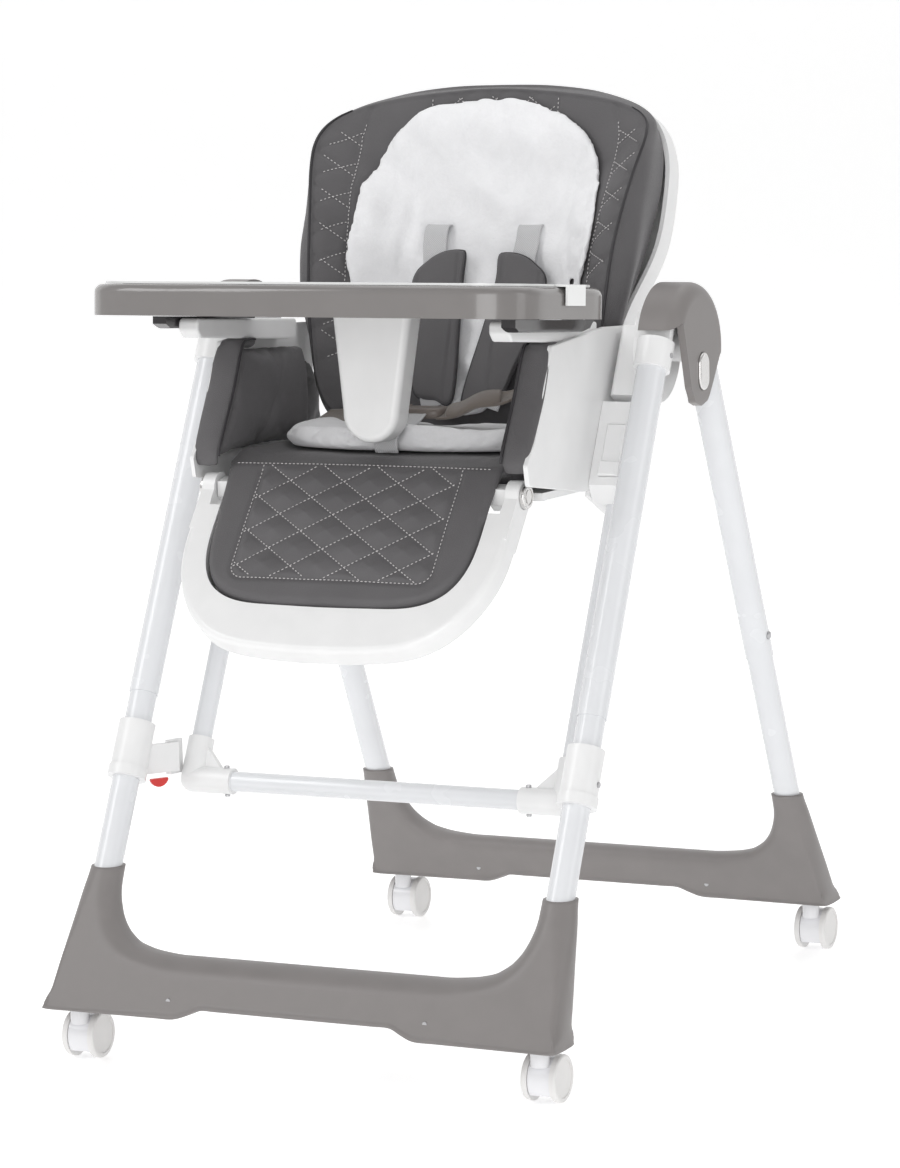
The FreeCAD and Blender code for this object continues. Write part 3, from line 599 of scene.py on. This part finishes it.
def footrest_back(a, b):
    return np.where(b > -36, -8.0, 9.5) * 1.0 - 17.5 * smoothstep(b, -46, -34) * (b <= -36)


footrest_blend = ("seat", "footrest", FOOTREST @ Vector((0, -20, PAD_TOP - 4)),
                  FOOTREST @ Vector((0, -20, -26)))
footrest_pad = pad("footrest_cover", pad_loop, (0, -62), footrest_front, footrest_back, FOOTREST,
                   LEATHER, edge=9.0, rings=64)
finish_piece(footrest_pad, None, ["footrest_pad"], footrest_blend)


def on_front(face, points):
    points = np.asarray(points, float)
    y = face(points[:, 0], points[:, 1])
    return np.stack([points[:, 0], y, points[:, 1]], 1)


def clipped_runs(points, keep):
    """Stretches of a path where keep is true."""
    runs, run = [], []
    for point, good in zip(points, keep):
        if good:
            run.append(point)
        elif len(run) > 3:
            runs.append(np.array(run))
            run = []
        else:
            run = []
    if len(run) > 3:
        runs.append(np.array(run))
    return runs


quilt_paths = []
for sign in (1, -1):
    for k in range(-7, 8):
        a = np.linspace(-QUILT_HALF, QUILT_HALF, 160)
        b = sign * DIAMOND[1] * (k - 0.25 - a / DIAMOND[0])
        line = np.stack([a, b], 1)
        keep = (quilt_inside(a, b) > 0.5) & (b < SEAM_Z - 2)
        quilt_paths += [on_front(footrest_front, run) for run in clipped_runs(line, keep)]
corner = [(QUILT_HALF - QUILT_CORNER + QUILT_CORNER * math.sin(t),
           QUILT_BOTTOM + QUILT_CORNER - QUILT_CORNER * math.cos(t))
          for t in np.linspace(0, math.pi / 2, 12)]
right_edge = corner + [(QUILT_HALF, z) for z in np.linspace(QUILT_BOTTOM + 20, SEAM_Z - 2, 40)]
bottom = [(x, QUILT_BOTTOM) for x in np.linspace(-QUILT_HALF + 18, QUILT_HALF - 18, 60)]
left_edge = [(-a, b) for a, b in reversed(right_edge)]
quilt_paths.append(on_front(footrest_front, left_edge + bottom + right_edge))
quilt_paths.append(on_front(footrest_front,
                            [(x, SEAM_Z) for x in np.linspace(-PAD_HALF + 8, PAD_HALF - 8, 120)]))
footrest_stitches = stitches("footrest_stitching", quilt_paths, lambda p: (0, -1, 0), FOOTREST,
                             THREAD, pitch=4.8, length=2.6, radius=0.5, lift=0.9)
finish_piece(footrest_stitches, None, blended=footrest_blend)

# ---------------------------------------------------------------- backrest cover
# From the bottom centre up one side: ridge (x, z, y), widest bulge (x, z, y), shell rim (x, z).
COVER_ROWS = [
    ((0, 14, 6), (0, 11, 12), (0, 13)), ((110, 14, 4), (112, 11, 12), (120, 13)),
    ((156, 24, -14), (163, 20, 2), (158, 16)), ((171, 52, -34), (179, 48, -14), (167, 45)),
    ((177, 95, -48), (185, 92, -26), (171, 90)), ((182, 148, -60), (199, 146, -40), (176, 150)),
    ((186, 200, -65), (206, 200, -45), (190, 206)),
    ((192, 250, -63), (206.5, 250, -42), (199, 256)),
    ((199, 294, -58), (208, 297, -38), (203, 292)), ((203, 330, -47), (206, 333, -28), (201, 332)),
    ((196, 357, -32), (200, 361, -17), (190, 362)), ((171, 376, -22), (174, 382, -10), (164, 384)),
    ((128, 389, -17), (130, 396, -6), (121, 400)), ((64, 398, -14), (65, 404.5, -3), (62, 408)),
    ((0, 402, -13), (0, 407, -2), (0, 409.5)),
]
BACK_CENTRE = np.array([0.0, 215.0])
COVER_AROUND = 340
flat_rows = [np.concatenate(row) for row in COVER_ROWS]
mirrored_rows = [row * np.array([-1, 1, 1, -1, 1, 1, -1, 1]) for row in reversed(flat_rows)
                 if row[0] > 0.01]
cover_line = smooth_path(flat_rows + mirrored_rows, COVER_AROUND, closed=True)
ridge, bulge, rim = cover_line[:, 0:3], cover_line[:, 3:6], cover_line[:, 6:8]
ridge_angle = np.unwrap(np.arctan2(ridge[:, 1] - BACK_CENTRE[1], ridge[:, 0]))
WING_FOOT_Z = 60.0


def on_ridge(a, b):
    """Share of the way from the centre to the ridge, and the ridge's local Y that way."""
    dx, dz = np.ravel(a), np.ravel(b) - BACK_CENTRE[1]
    angle = np.arctan2(dz, dx)
    start = ridge_angle[0]
    angle = start + np.mod(angle - start, 2 * math.pi)
    order = np.append(ridge_angle, start + 2 * math.pi)
    reach = np.hypot(ridge[:, 0], ridge[:, 1] - BACK_CENTRE[1])
    reach_there = np.interp(angle, order, np.append(reach, reach[0]))
    height = np.interp(angle, order, np.append(ridge[:, 2], ridge[0, 2]))
    share = np.hypot(dx, dz) / reach_there
    return share.reshape(np.shape(a)), height.reshape(np.shape(a))


def strip_x(b):
    """Where the wings' inner seam runs, by height."""
    return np.interp(b, [60, 205, 280, 345, 380], [146, 150, 158, 159, 152])


def sewn(off_line, width):
    return np.exp(-(off_line / width) ** 2)


def strip_channels(a, b):
    """Channels sewn across the wings: two slanting families outside the strip's seam."""
    strip = smoothstep(np.abs(a) - strip_x(b), -2, 3) * smoothstep(b, 60, 90)
    strip = strip * (1 - smoothstep(b, 340, 362))
    groove = np.zeros(np.shape(a))
    for slant in (1, -1):
        phase = (b + slant * STRIP_SLOPE * (np.abs(a) - 172)) / STRIP_PITCH
        groove = np.maximum(groove, sewn(np.abs(phase - np.round(phase)) * STRIP_PITCH, 3.0))
    return groove * strip


def top_channels(a, b):
    """Diamonds sewn on the top centre, between two upright seams."""
    inside = (1 - smoothstep(np.abs(a), TOP_SEAM_X - 6, TOP_SEAM_X)) * smoothstep(b, 352, 360)
    groove = np.zeros(np.shape(a))
    for slant in (1, -1):
        phase = a / TOP_DIAMOND[0] + slant * b / TOP_DIAMOND[1]
        groove = np.maximum(groove, sewn(np.abs(phase - np.round(phase)) * 28.0, 2.6))
    return groove * inside


STRIP_PITCH = 38.0
STRIP_SLOPE = 0.62
TOP_SEAM_X = 78.0
TOP_DIAMOND = (44.0, 30.0)


def back_smooth(a, b):
    """The cover's face before its channels are sewn, and the share of the way to the ridge."""
    share, height = on_ridge(a, b)
    base = 7.5 - 2.0 * smoothstep(b, 250, 380)
    rise = smoothstep(share, 0.42, 1.03)
    return base + (height - base) * rise, share


def back_front(a, b):
    face, share = back_smooth(a, b)
    seams = 1.8 * sewn(np.abs(a) - TOP_SEAM_X, 2.6) * smoothstep(b, 300, 330)
    seams = seams + 2.2 * sewn(np.abs(a) - strip_x(b), 2.8) * smoothstep(b, 60, 90)
    pull = 2.4 * strip_channels(a, b) + 1.6 * top_channels(a, b) + seams
    crease = 1.3 * ripple(a, b, 48.0, 1.0) + 1.6 * ripple(a, b * 0.6, 26.0, 4.0) * (b < 150)
    return face + pull - crease * (1 - smoothstep(share, 0.9, 1.0))


def cover_mesh():
    """Front sheet out to the ridge, round the wings to the shell's rim, and back underneath."""
    layers = []
    for share in np.concatenate([np.linspace(0.02, 0.9, 52), np.linspace(0.915, 0.985, 6)]):
        flat = BACK_CENTRE + (ridge[:, :2] - BACK_CENTRE) * share
        layers.append(np.stack([flat[:, 0], back_front(flat[:, 0], flat[:, 1]), flat[:, 1]], 1))
    last_front = layers[-1]
    outward = rim - BACK_CENTRE
    outward = outward / np.linalg.norm(outward, axis=1, keepdims=True)

    def at_rim(extra, y):
        flat = rim + outward * extra
        return np.stack([flat[:, 0], np.full(len(flat), float(y)), flat[:, 1]], 1)

    top = np.stack([ridge[:, 0], ridge[:, 2] - 0.4, ridge[:, 1]], 1)
    side = np.stack([bulge[:, 0], bulge[:, 2], bulge[:, 1]], 1)
    stations = [last_front, top, side, at_rim(1.5, 2), at_rim(0.4, 12), at_rim(-2.0, 17.4)]
    stack = np.concatenate(stations, axis=1)
    skins = [smooth_path(row.reshape(-1, 3), 26) for row in stack]
    skins = np.array(skins)
    layers += [skins[:, k, :] for k in range(1, 26)]
    layers += [at_rim(-4.0, 17.6)]
    flat_rim = [BACK_CENTRE + (rim - BACK_CENTRE) * share for share in (0.9, 0.6, 0.3, 0.05)]
    layers += [np.stack([f[:, 0], np.full(len(f), 17.0), f[:, 1]], 1) for f in flat_rim]
    front_y = float(back_front(np.array([0.0]), np.array([BACK_CENTRE[1]]))[0])
    ends = [[0.0, front_y, BACK_CENTRE[1]], [0.0, 17.0, BACK_CENTRE[1]]]
    return np.vstack(layers + [np.array(ends)]), len(layers)


cover_verts, cover_layers = cover_mesh()
back_cover = new_object("backrest_cover", cover_verts, ring_faces(cover_layers, COVER_AROUND),
                        BACK, LEATHER)
finish_piece(back_cover, "backrest", ["back_pad", "back_wings"])

top_of_ridge = int(np.argmax(ridge[:, 1]))
for sign, side_name in ((1, "right"), (-1, "left")):
    half_ridge = ridge[:top_of_ridge] if sign > 0 else ridge[:top_of_ridge] * [-1, 1, 1]
    shown = half_ridge[(half_ridge[:, 1] > WING_FOOT_Z) & (np.abs(half_ridge[:, 0]) > 165)]
    piping_line = np.stack([shown[:, 0], shown[:, 2] - 1.0, shown[:, 1]], 1)
    ends = np.minimum(1, 0.1 + np.minimum(np.arange(110), np.arange(110)[::-1]) / 14)
    pipe = sweep("wing_piping_" + side_name, smooth_path(piping_line[::4], 110),
                 round_section(1.8), BACK, PIPING, side=(1, 0, 0), grow=ends)
    finish_piece(pipe, "backrest")

back_paths = []
for sign in (1, -1):
    upright_seam = [(sign * TOP_SEAM_X, z) for z in np.linspace(335, 392, 40)]
    strip_seam = [(sign * strip_x(z), z) for z in np.linspace(70, 362, 120)]
    back_paths += [on_front(back_front, upright_seam), on_front(back_front, strip_seam)]
    for slant in (1, -1):
        for k in range(1, 11):
            x = np.linspace(148, 200, 60)
            z = STRIP_PITCH * k - slant * STRIP_SLOPE * (x - 172)
            share, _ = on_ridge(x, z)
            line = np.stack([x * sign, z], 1)
            keep = (share < 0.955) & (z > 80) & (z < 352) & (x > strip_x(z) + 1)
            back_paths += [on_front(back_front, run) for run in clipped_runs(line, keep)]
for slant in (1, -1):
    for k in range(9, 17):
        x = np.linspace(2 - TOP_SEAM_X, TOP_SEAM_X - 2, 120)
        z = TOP_DIAMOND[1] * (k - slant * x / TOP_DIAMOND[0])
        share, _ = on_ridge(x, z)
        line = np.stack([x, z], 1)
        keep = (z > 362) & (share < 0.96)
        back_paths += [on_front(back_front, run) for run in clipped_runs(line, keep)]
back_stitches = stitches("backrest_stitching", back_paths, lambda p: (0, -1, 0), BACK, THREAD,
                         pitch=4.8, length=2.6, radius=0.5, lift=1.1)
finish_piece(back_stitches, "backrest")

# ---------------------------------------------------------------- plush inserts
INSERT_HALF = [(0, 26), (22, 30), (36, 46), (46, 74), (68, 104), (106, 126), (136, 152), (147, 196),
               (148, 250), (145, 286), (136, 318), (121, 343), (98, 364), (62, 380), (28, 387),
               (0, 388)]
insert_loop = symmetric_loop(INSERT_HALF, 300)
SLOT_Z = 242.0
STRAP_X = 57.0
STRAP_SHIFT = 5.0


def insert_front(a, b):
    slot = np.exp(-((b - SLOT_Z) / 5.0) ** 2) * (np.abs(np.abs(a - STRAP_SHIFT) - STRAP_X) < 20)
    slant = 0.5 * a + 0.85 * b
    fold = 9.0 * ripple(slant, (b - a) * 0.25, 34.0, 5.0) + 4.0 * ripple(a, b * 0.4, 17.0, 9.0)
    crown = 3.5 * (1 - (a / 150.0) ** 2)
    return back_smooth(a, b)[0] - 11.0 - crown - fold + 4.0 * slot


def insert_rear(a, b):
    return back_smooth(a, b)[0] - 1.0


insert_back = pad("plush_back_insert", insert_loop, (0, 215), insert_front, insert_rear, BACK,
                  MATERIALS["plush"], edge=9.0, rings=54)
puff(insert_back, BACK.to_3x3() @ Vector((0, 1 / MM, 0)), voxel=0.0045, cap=0.006, slack=0.035)
finish_piece(insert_back, "backrest", ["insert_back"])


def lying(centre_y, top_z):
    """Frame for a pad lying on the seat: local X across, local Z to the rear, local -Y up."""
    turn = Matrix(((1, 0, 0), (0, 0, 1), (0, -1, 0))).to_4x4()
    return Matrix.Translation((0, centre_y * MM, top_z * MM)) @ turn @ Matrix.Scale(MM, 4)


cushion_mid = (CUSHION_FRONT + CUSHION_REAR) / 2
cushion_reach = (CUSHION_REAR - CUSHION_FRONT) / 2
CUSHION = lying(cushion_mid, CUSHION_TOP)


def rounded_rect(half_x, low_z, high_z, radius, count=260):
    points = []
    corners = [(half_x - radius, low_z + radius, -90), (half_x - radius, high_z - radius, 0),
               (-half_x + radius, high_z - radius, 90), (-half_x + radius, low_z + radius, 180)]
    for x, z, start in corners:
        for turn in np.linspace(math.radians(start), math.radians(start + 90), 12):
            points.append((x + radius * math.cos(turn), z + radius * math.sin(turn)))
    closed = np.array(points + [points[0]])
    along = np.concatenate([[0], np.cumsum(np.linalg.norm(np.diff(closed, axis=0), axis=1))])
    wanted = np.linspace(0, along[-1], count, endpoint=False)
    return np.stack([np.interp(wanted, along, closed[:, k]) for k in range(2)], 1)


cushion_loop = rounded_rect(165, -cushion_reach + 6, cushion_reach, 10)


def cushion_front(a, b):
    side = 7.0 * smoothstep(np.abs(a), 120, 166)
    lip = 6.0 * smoothstep(-b, cushion_reach - 42, cushion_reach - 4)
    tail = 13.0 * smoothstep(b, cushion_reach - 26, cushion_reach - 6)
    return 1.5 - side * (1 - lip / 7.0) - 1.2 * ripple(a, b, 55.0, 7.0) + lip - tail


seat_cushion = pad("seat_base_cover", cushion_loop, (0, 0), cushion_front,
                   lambda a, b: 33.5 - 15.0 * smoothstep(-b, cushion_reach - 55,
                                                         cushion_reach - 30),
                   CUSHION, LEATHER, edge=9.0, rings=40)
finish_piece(seat_cushion, "seat", ["seat_cushion"])

insert_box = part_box("insert_seat")
insert_mid = (insert_box[0].y + insert_box[1].y) / 2 / MM
insert_reach = (insert_box[1].y - insert_box[0].y) / 2 / MM
SEAT_INSERT = lying(insert_mid, insert_box[0].z / MM)
front_edge = -insert_reach - 2
insert_seat_half = [(0, front_edge + 1), (45, front_edge - 2), (88, front_edge + 7),
                    (122, front_edge + 20), (142, front_edge + 36), (149, -insert_reach + 66),
                    (150, insert_reach - 22), (132, insert_reach - 2), (70, insert_reach),
                    (0, insert_reach)]
seat_insert_loop = symmetric_loop(insert_seat_half, 260)


def seat_insert_front(a, b):
    roll = 8.0 * np.exp(-((b + insert_reach - 16) / 16.0) ** 2)
    lobes = 3.0 * np.cos(a / 31.0) * np.exp(-((b + insert_reach) / 40.0) ** 2)
    rise = 9.0 * smoothstep(np.abs(a), 90, 150)
    fold = 1.8 * ripple(a * 0.6, b, 30.0, 11.0) + 1.0 * ripple(a, b, 13.0, 13.0)
    return -15.0 - roll - lobes - rise - fold


insert_seat = pad("plush_seat_insert", seat_insert_loop, (0, 0), seat_insert_front,
                  lambda a, b: np.full(np.shape(a), -0.6), SEAT_INSERT, MATERIALS["plush"],
                  edge=11.0, rings=46)
puff(insert_seat, (0, 0, -1), voxel=0.0045, cap=0.006, slack=0.05)
finish_piece(insert_seat, "seat", ["insert_seat"])

# ---------------------------------------------------------------- side bolsters
BOLSTER_THICK = 27.0
SHELL_INSIDE = 194.3
shell_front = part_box("seat_shell")[0].y / MM
# side views of a bolster and its front edge: (y, z), y back from the shell's foremost point
BOLSTER_SIDE = [(9, 640), (11, 652), (31, 680), (62, 740), (74, 752), (104, 750), (196, 746),
                (252, 740), (275, 718), (288, 688), (292, 662), (290, 641), (110, 640)]
EDGE_LINE = [(9, 630), (7, 640), (13, 654), (24, 672), (44, 706), (62, 744), (71, 756), (86, 759),
             (104, 757)]
bolster_loop = smooth_path([(shell_front + y, z) for y, z in BOLSTER_SIDE], 260, closed=True)


def side_frame(sign):
    """Frame for a pad standing on the side wall: local X along +Y, local Z up, -Y to the middle."""
    turn = Matrix(((0, sign, 0), (1, 0, 0), (0, 0, 1))).to_4x4()
    return Matrix.Translation((sign * SHELL_INSIDE * MM, 0, 0)) @ turn @ Matrix.Scale(MM, 4)


def bolster_front(a, b):
    slanting_seam = 2.6 * sewn(a - shell_front - 95 - 0.75 * (b - 640), 4.0)
    flap = 20.0 * smoothstep(a - shell_front, 212, 240)
    return (-BOLSTER_THICK + flap + slanting_seam + 1.8 * ripple(a, b, 38.0, 17.0)
            + 1.0 * ripple(a, b * 0.5, 17.0, 19.0) + 5.0 * smoothstep(b, 700, 752))


ROLL_SECTION = [(17.5 * math.cos(t), 7.5 * math.sin(t) * (1.0 if math.sin(t) > 0 else 0.5))
                for t in np.linspace(0, 2 * math.pi, 24, endpoint=False)]
for sign, side_name in ((1, "right"), (-1, "left")):
    bolster = pad("bolster_" + side_name, bolster_loop, (shell_front + 140, 695), bolster_front,
                  lambda a, b: np.zeros(np.shape(a)), side_frame(sign), LEATHER, edge=12.0,
                  rings=34)
    puff(bolster, (sign, 0, 0), cap=0.005, slack=0.03)
    finish_piece(bolster, "seat", ["side_bolsters"])
    edge_path = smooth_path([(sign * 183.0, shell_front + y, z) for y, z in EDGE_LINE], 90)
    taper = 0.55 + 0.45 * np.sin(np.linspace(0.02, math.pi - 0.02, 90)) ** 0.35
    roll = sweep("bolster_edge_" + side_name, edge_path, ROLL_SECTION, CHAIR, LEATHER,
                 side=(1, 0, 0), grow=taper)
    finish_piece(roll, "seat")
    seam_line = edge_path + np.array([-sign * 16.0, -1.5, 2.0])
    pipe = sweep("bolster_piping_" + side_name, seam_line[4:-4], round_section(1.7), CHAIR, PIPING,
                 side=(1, 0, 0))
    finish_piece(pipe, "seat")

# ---------------------------------------------------------------- harness
SHOULDER_PAD = [(2, 40), (0, 130), (-2, 178), (-2, 205), (-8, 210), (-28, 208), (-46, 198),
                (-62, 178), (-63, 130), (-52, 80), (-44, 44), (-20, 38)]
PAD_MIDDLE = (-32.0, 130.0)


def shoulder_front(a, b):
    inside = np.abs(np.abs(a - PAD_MIDDLE[0]) - 24.0)
    return -27.5 + 1.4 * sewn(inside, 1.8) - 1.6 * (1 - ((a - PAD_MIDDLE[0]) / 34.0) ** 2)


for sign, side_name in ((1, "right"), (-1, "left")):
    top_x = sign * STRAP_X + STRAP_SHIFT
    strap_path = smooth_path([(top_x, -4, 245), (top_x, -16.0, SLOT_Z - 2), (top_x, -18.5, 222),
                              (top_x - sign * 4, -19.0, 190), (top_x - sign * 12, -19.5, 120),
                              (top_x - sign * 16, -22, 60), (top_x - sign * 20, -24, 44),
                              (top_x - sign * 24, -24, 30)], 90)
    strap = sweep("shoulder_strap_" + side_name, strap_path, strap_section(29.0, 1.8), BACK,
                  MATERIALS["strap_grey"], side=(1, 0, 0))
    finish_piece(strap, "backrest", ["shoulder_harness"])
    shape = [(-sign * x, z) for x, z in SHOULDER_PAD]
    # the right pad lies further over and leans to the middle; the left one hangs straight
    shift, lean = (30.0, 22.0) if sign > 0 else (-8.0, 0.0)
    loop = smooth_path([(x + shift - lean * max(0.0, (165 - z) / 125), z - 3.0 * (sign > 0))
                        for x, z in shape], 170, closed=True)
    middle = (-sign * PAD_MIDDLE[0] + shift, PAD_MIDDLE[1])
    cover = pad("shoulder_pad_" + side_name, loop, middle,
                lambda a, b, s=sign, d=shift: shoulder_front(-s * (a - d), b),
                lambda a, b: np.full(np.shape(a), -21.0), BACK, LEATHER, edge=4.5, rings=22)
    finish_piece(cover, "backrest")
    edging = np.stack([loop[:, 0], np.full(len(loop), -23.5), loop[:, 1]], 1)
    pipe = sweep("shoulder_piping_" + side_name, edging, round_section(1.5, 8), BACK, PIPING,
                 side=(0, 1, 0), closed=True)
    finish_piece(pipe, "backrest")

buckle_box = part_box("buckle")
buckle_at = Vector(((buckle_box[0] + buckle_box[1]) / 2)) / MM + Vector((0, 0, 8))
BELT_ROUTES = {
    "right": [(158, 26, 46), (132, 14, 34), (104, 2, 22), (74, -6, 12), (48, -2, 3), (24, 0, 0)],
    "left": [(-150, 50, -12), (-122, 42, -12), (-90, 30, -8), (-62, 16, -3), (-40, 4, 0),
             (-24, 0, 0)],
}
for side_name, route in BELT_ROUTES.items():
    belt_path = smooth_path([(x, buckle_at.y + y, buckle_at.z + z) for x, y, z in route], 90)
    belt_path[:, 2] += (3.0 * np.sin(np.linspace(0, 11.0, 90))
                        * np.sin(np.linspace(0, math.pi, 90)))
    belt = sweep("waist_belt_" + side_name, belt_path, strap_section(36.0, 2.8), CHAIR,
                 MATERIALS["belt_taupe"], side=(0, 1, 0.35))
    finish_piece(belt, "seat", ["waist_belt"])
    cover_path = belt_path[44:84] + np.array([0, 0, 1.5])
    fullness = 0.5 + 0.5 * np.sin(np.linspace(0.05, math.pi - 0.05, 40)) ** 0.3
    oval = [(20.0 * math.cos(t), 6.5 * math.sin(t))
            for t in np.linspace(0, 2 * math.pi, 28, endpoint=False)]
    sleeve = sweep("belt_sleeve_" + side_name, cover_path, oval, CHAIR,
                   MATERIALS["belt_taupe"], side=(0, 1, 0.35), grow=fullness)
    finish_piece(sleeve, "seat")

BUCKLE = lying(buckle_at.y, buckle_at.z)
buckle_loop = symmetric_loop([(0, -21), (14, -21), (25, -17), (28, -8), (27, 8), (24, 18),
                              (12, 21), (0, 21)], 120)
buckle = pad("buckle_body", buckle_loop, (0, 0),
             lambda a, b: -5.5 + 1.4 * (np.hypot(a, b) < 9),
             lambda a, b: np.full(np.shape(a), 6.0), BUCKLE, MATERIALS["buckle_taupe"], edge=4.0,
             rings=20)
finish_piece(buckle, "seat", ["buckle"])

strap_top = insert_box[0].z / MM
crotch_path = smooth_path([(0, insert_box[0].y / MM - 9, strap_top + 0.5),
                           (0, insert_box[0].y / MM - 12, strap_top + 6),
                           (0, insert_box[0].y / MM - 9, strap_top + 18),
                           (0, insert_box[0].y / MM + 10, strap_top + 28),
                           (0, insert_box[0].y / MM + 36, strap_top + 27),
                           (0, buckle_at.y - 19, buckle_at.z)], 60)
crotch = sweep("crotch_webbing", crotch_path, strap_section(28.0, 1.8), CHAIR,
               MATERIALS["strap_grey"], side=(1, 0, 0))
finish_piece(crotch, "seat", ["crotch_strap"])

# ---------------------------------------------------------------- moulded feet
LEG_LEAN = math.tan(math.radians(26.27))
APEX_Z = 872.0
APEX_Y = HINGES["fold"].y / MM
RISER_TOP = 200.0
# From a riser's top to the middle of the bar: upper edge (x, z) and lower edge (x, z).
FOOT_EDGES = [
    ((248.5, 201), (285.5, 201)), ((248.3, 192), (286.5, 192)), ((247.5, 178), (289, 176)),
    ((244, 164), (291.5, 152)), ((237, 149), (294, 124)), ((227, 137), (296.5, 94)),
    ((214, 128), (299, 64)), ((205, 124.5), (297, 59.3)), ((190, 121), (262, 59)),
    ((172, 119), (212, 59)), ((156, 118), (165, 59)), ((141, 118), (141, 59.3)),
    ((126, 118), (126, 64)), ((111, 118), (111, 69.7)), ((90, 118), (90, 70)),
    ((45, 118), (45, 70)), ((0, 118), (0, 70)),
]


def foot_mesh(name, direction):
    """Hollow-looking moulded foot: round at the leg, softly crowned along the bar, lipped below."""
    half = [np.concatenate(pair) for pair in FOOT_EDGES]
    left = [row * np.array([-1, 1, -1, 1]) for row in reversed(half[:-1])]
    stations = smooth_path(half + left, 260)
    share = np.concatenate([[0], np.geomspace(0.008, 0.3, 12), np.linspace(0.36, 0.82, 8),
                            1 - np.geomspace(0.15, 0.004, 12), [1]])
    rows = []
    for x_up, z_up, x_low, z_low in stations:
        span = math.hypot(x_low - x_up, z_low - z_up)
        x = x_up + (x_low - x_up) * share
        z = z_up + (z_low - z_up) * share
        depth = 18.8 + 6.2 * np.clip((RISER_TOP - z) / 140.0, 0, 1)
        on_riser = smoothstep(z_low, 90, 190)
        top_round = 16.5 + 2.0 * on_riser
        low_round = 2.2 + 7.0 * smoothstep(z_low, 64, 80) + 9.5 * on_riser
        if abs(x_low) < 140:
            low_round = 2.2
        from_top = np.minimum(share * span / top_round, 1)
        from_low = np.minimum((1 - share) * span / low_round, 1)
        round_over = (np.sqrt(1 - (1 - from_top) ** 2) * np.sqrt(1 - (1 - from_low) ** 2))
        reach = depth * round_over
        lip = 1.7 * (1 - smoothstep((1 - share) * span, 4.5, 5.6)) * (z_low < 72)
        reach = reach + lip * (share < 1)
        leg_y = APEX_Y + direction * (APEX_Z - z) * LEG_LEAN
        front = np.stack([x, leg_y - reach, z], 1)
        rear = np.stack([x, leg_y + reach, z], 1)[-2:0:-1]
        rows.append(np.vstack([front, rear]))
    around = len(rows[0])
    ends = [np.mean(rows[0], axis=0), np.mean(rows[-1], axis=0)]
    verts = np.vstack(rows + [np.array(ends)])
    return new_object(name, verts, ring_faces(len(rows), around), CHAIR,
                      MATERIALS["grey_plastic"])


finish_piece(foot_mesh("front_foot_moulding", -1), "frame", ["front_foot"])
finish_piece(foot_mesh("rear_foot_moulding", 1), "rear_frame", ["rear_foot"])

# ---------------------------------------------------------------- floor, light, camera
CAMERA_AT = Vector((1.936, -4.1335, 1.039))
CAMERA_AZIMUTH = math.radians(25.25)
CAMERA_PITCH = math.radians(7.02)
CAMERA_ROLL = math.radians(-0.96)
CAMERA_LENS = 126.4


def backdrop():
    """Pale floor that sweeps up behind the chair."""
    profile = [(-9.0, 0.0)] + [(y, 0.0) for y in np.linspace(-4, 4, 9)]
    profile += [(4.0 + 2.5 * math.sin(t), 2.5 - 2.5 * math.cos(t))
                for t in np.linspace(0, math.pi / 2, 24)[1:]]
    profile.append((6.5, 9.0))
    count = len(profile)
    verts = [(x, y, z) for x in (-11.0, 11.0) for y, z in profile]
    faces = [(k, k + 1, count + k + 1, count + k) for k in range(count - 1)]
    turned = Matrix.Rotation(CAMERA_AZIMUTH, 4, "Z")
    mat, nodes, links, shader, place = start_material("studio_paper", (0.93, 0.93, 0.93), 0.35,
                                                      Specular_IOR_Level=0.35)
    fibre = noise_node(nodes, links, place, 180.0, 3.0)
    add_bumps(nodes, links, shader, [(fibre, 0.0001, 0.1)])
    shader.inputs["Emission Color"].default_value = (1, 1, 1, 1)
    shader.inputs["Emission Strength"].default_value = 0.36
    return new_object("studio_sweep", verts, faces, turned, mat)


backdrop()


def area_light(name, place, target, size, power, colour=(1, 1, 1)):
    data = bpy.data.lights.new(name, "AREA")
    data.shape = "RECTANGLE"
    data.size, data.size_y = size
    data.energy = power
    data.color = colour
    light = bpy.data.objects.new(name, data)
    bpy.context.scene.collection.objects.link(light)
    light.location = place
    aim = Vector(target) - Vector(place)
    light.rotation_euler = aim.to_track_quat("-Z", "Y").to_euler()


area_light("key", (-2.2, -2.4, 2.9), (0, 0, 0.6), (1.4, 2.0), 34)
area_light("front", (1.3, -3.9, 1.2), (0, 0, 0.6), (2.2, 2.0), 42)
area_light("side", (3.4, -0.4, 1.6), (0, 0, 0.6), (1.4, 1.8), 10)
area_light("top", (0.2, 0.8, 3.2), (0, 0.2, 0.2), (2.6, 2.6), 18)

world = bpy.data.worlds.new("studio")
world.use_nodes = True
background = world.node_tree.nodes["Background"]
background.inputs["Color"].default_value = (1, 1, 1, 1)
background.inputs["Strength"].default_value = 0.5
bpy.context.scene.world = world
bpy.context.scene.view_settings.view_transform = "Standard"

camera_data = bpy.data.cameras.new("camera")
camera_data.lens = CAMERA_LENS
camera_data.sensor_width = 36.0
camera_data.sensor_fit = "AUTO"
camera = bpy.data.objects.new("camera", camera_data)
bpy.context.scene.collection.objects.link(camera)
right = Vector((math.cos(CAMERA_AZIMUTH), math.sin(CAMERA_AZIMUTH), 0))
ahead = Vector((-math.sin(CAMERA_AZIMUTH) * math.cos(CAMERA_PITCH),
                math.cos(CAMERA_AZIMUTH) * math.cos(CAMERA_PITCH), -math.sin(CAMERA_PITCH)))
upright = right.cross(ahead)
roll_right = right * math.cos(CAMERA_ROLL) + upright * math.sin(CAMERA_ROLL)
roll_up = upright * math.cos(CAMERA_ROLL) - right * math.sin(CAMERA_ROLL)
pose = Matrix((roll_right, roll_up, -ahead)).transposed().to_4x4()
camera.matrix_world = Matrix.Translation(CAMERA_AT) @ pose
bpy.context.scene.camera = camera
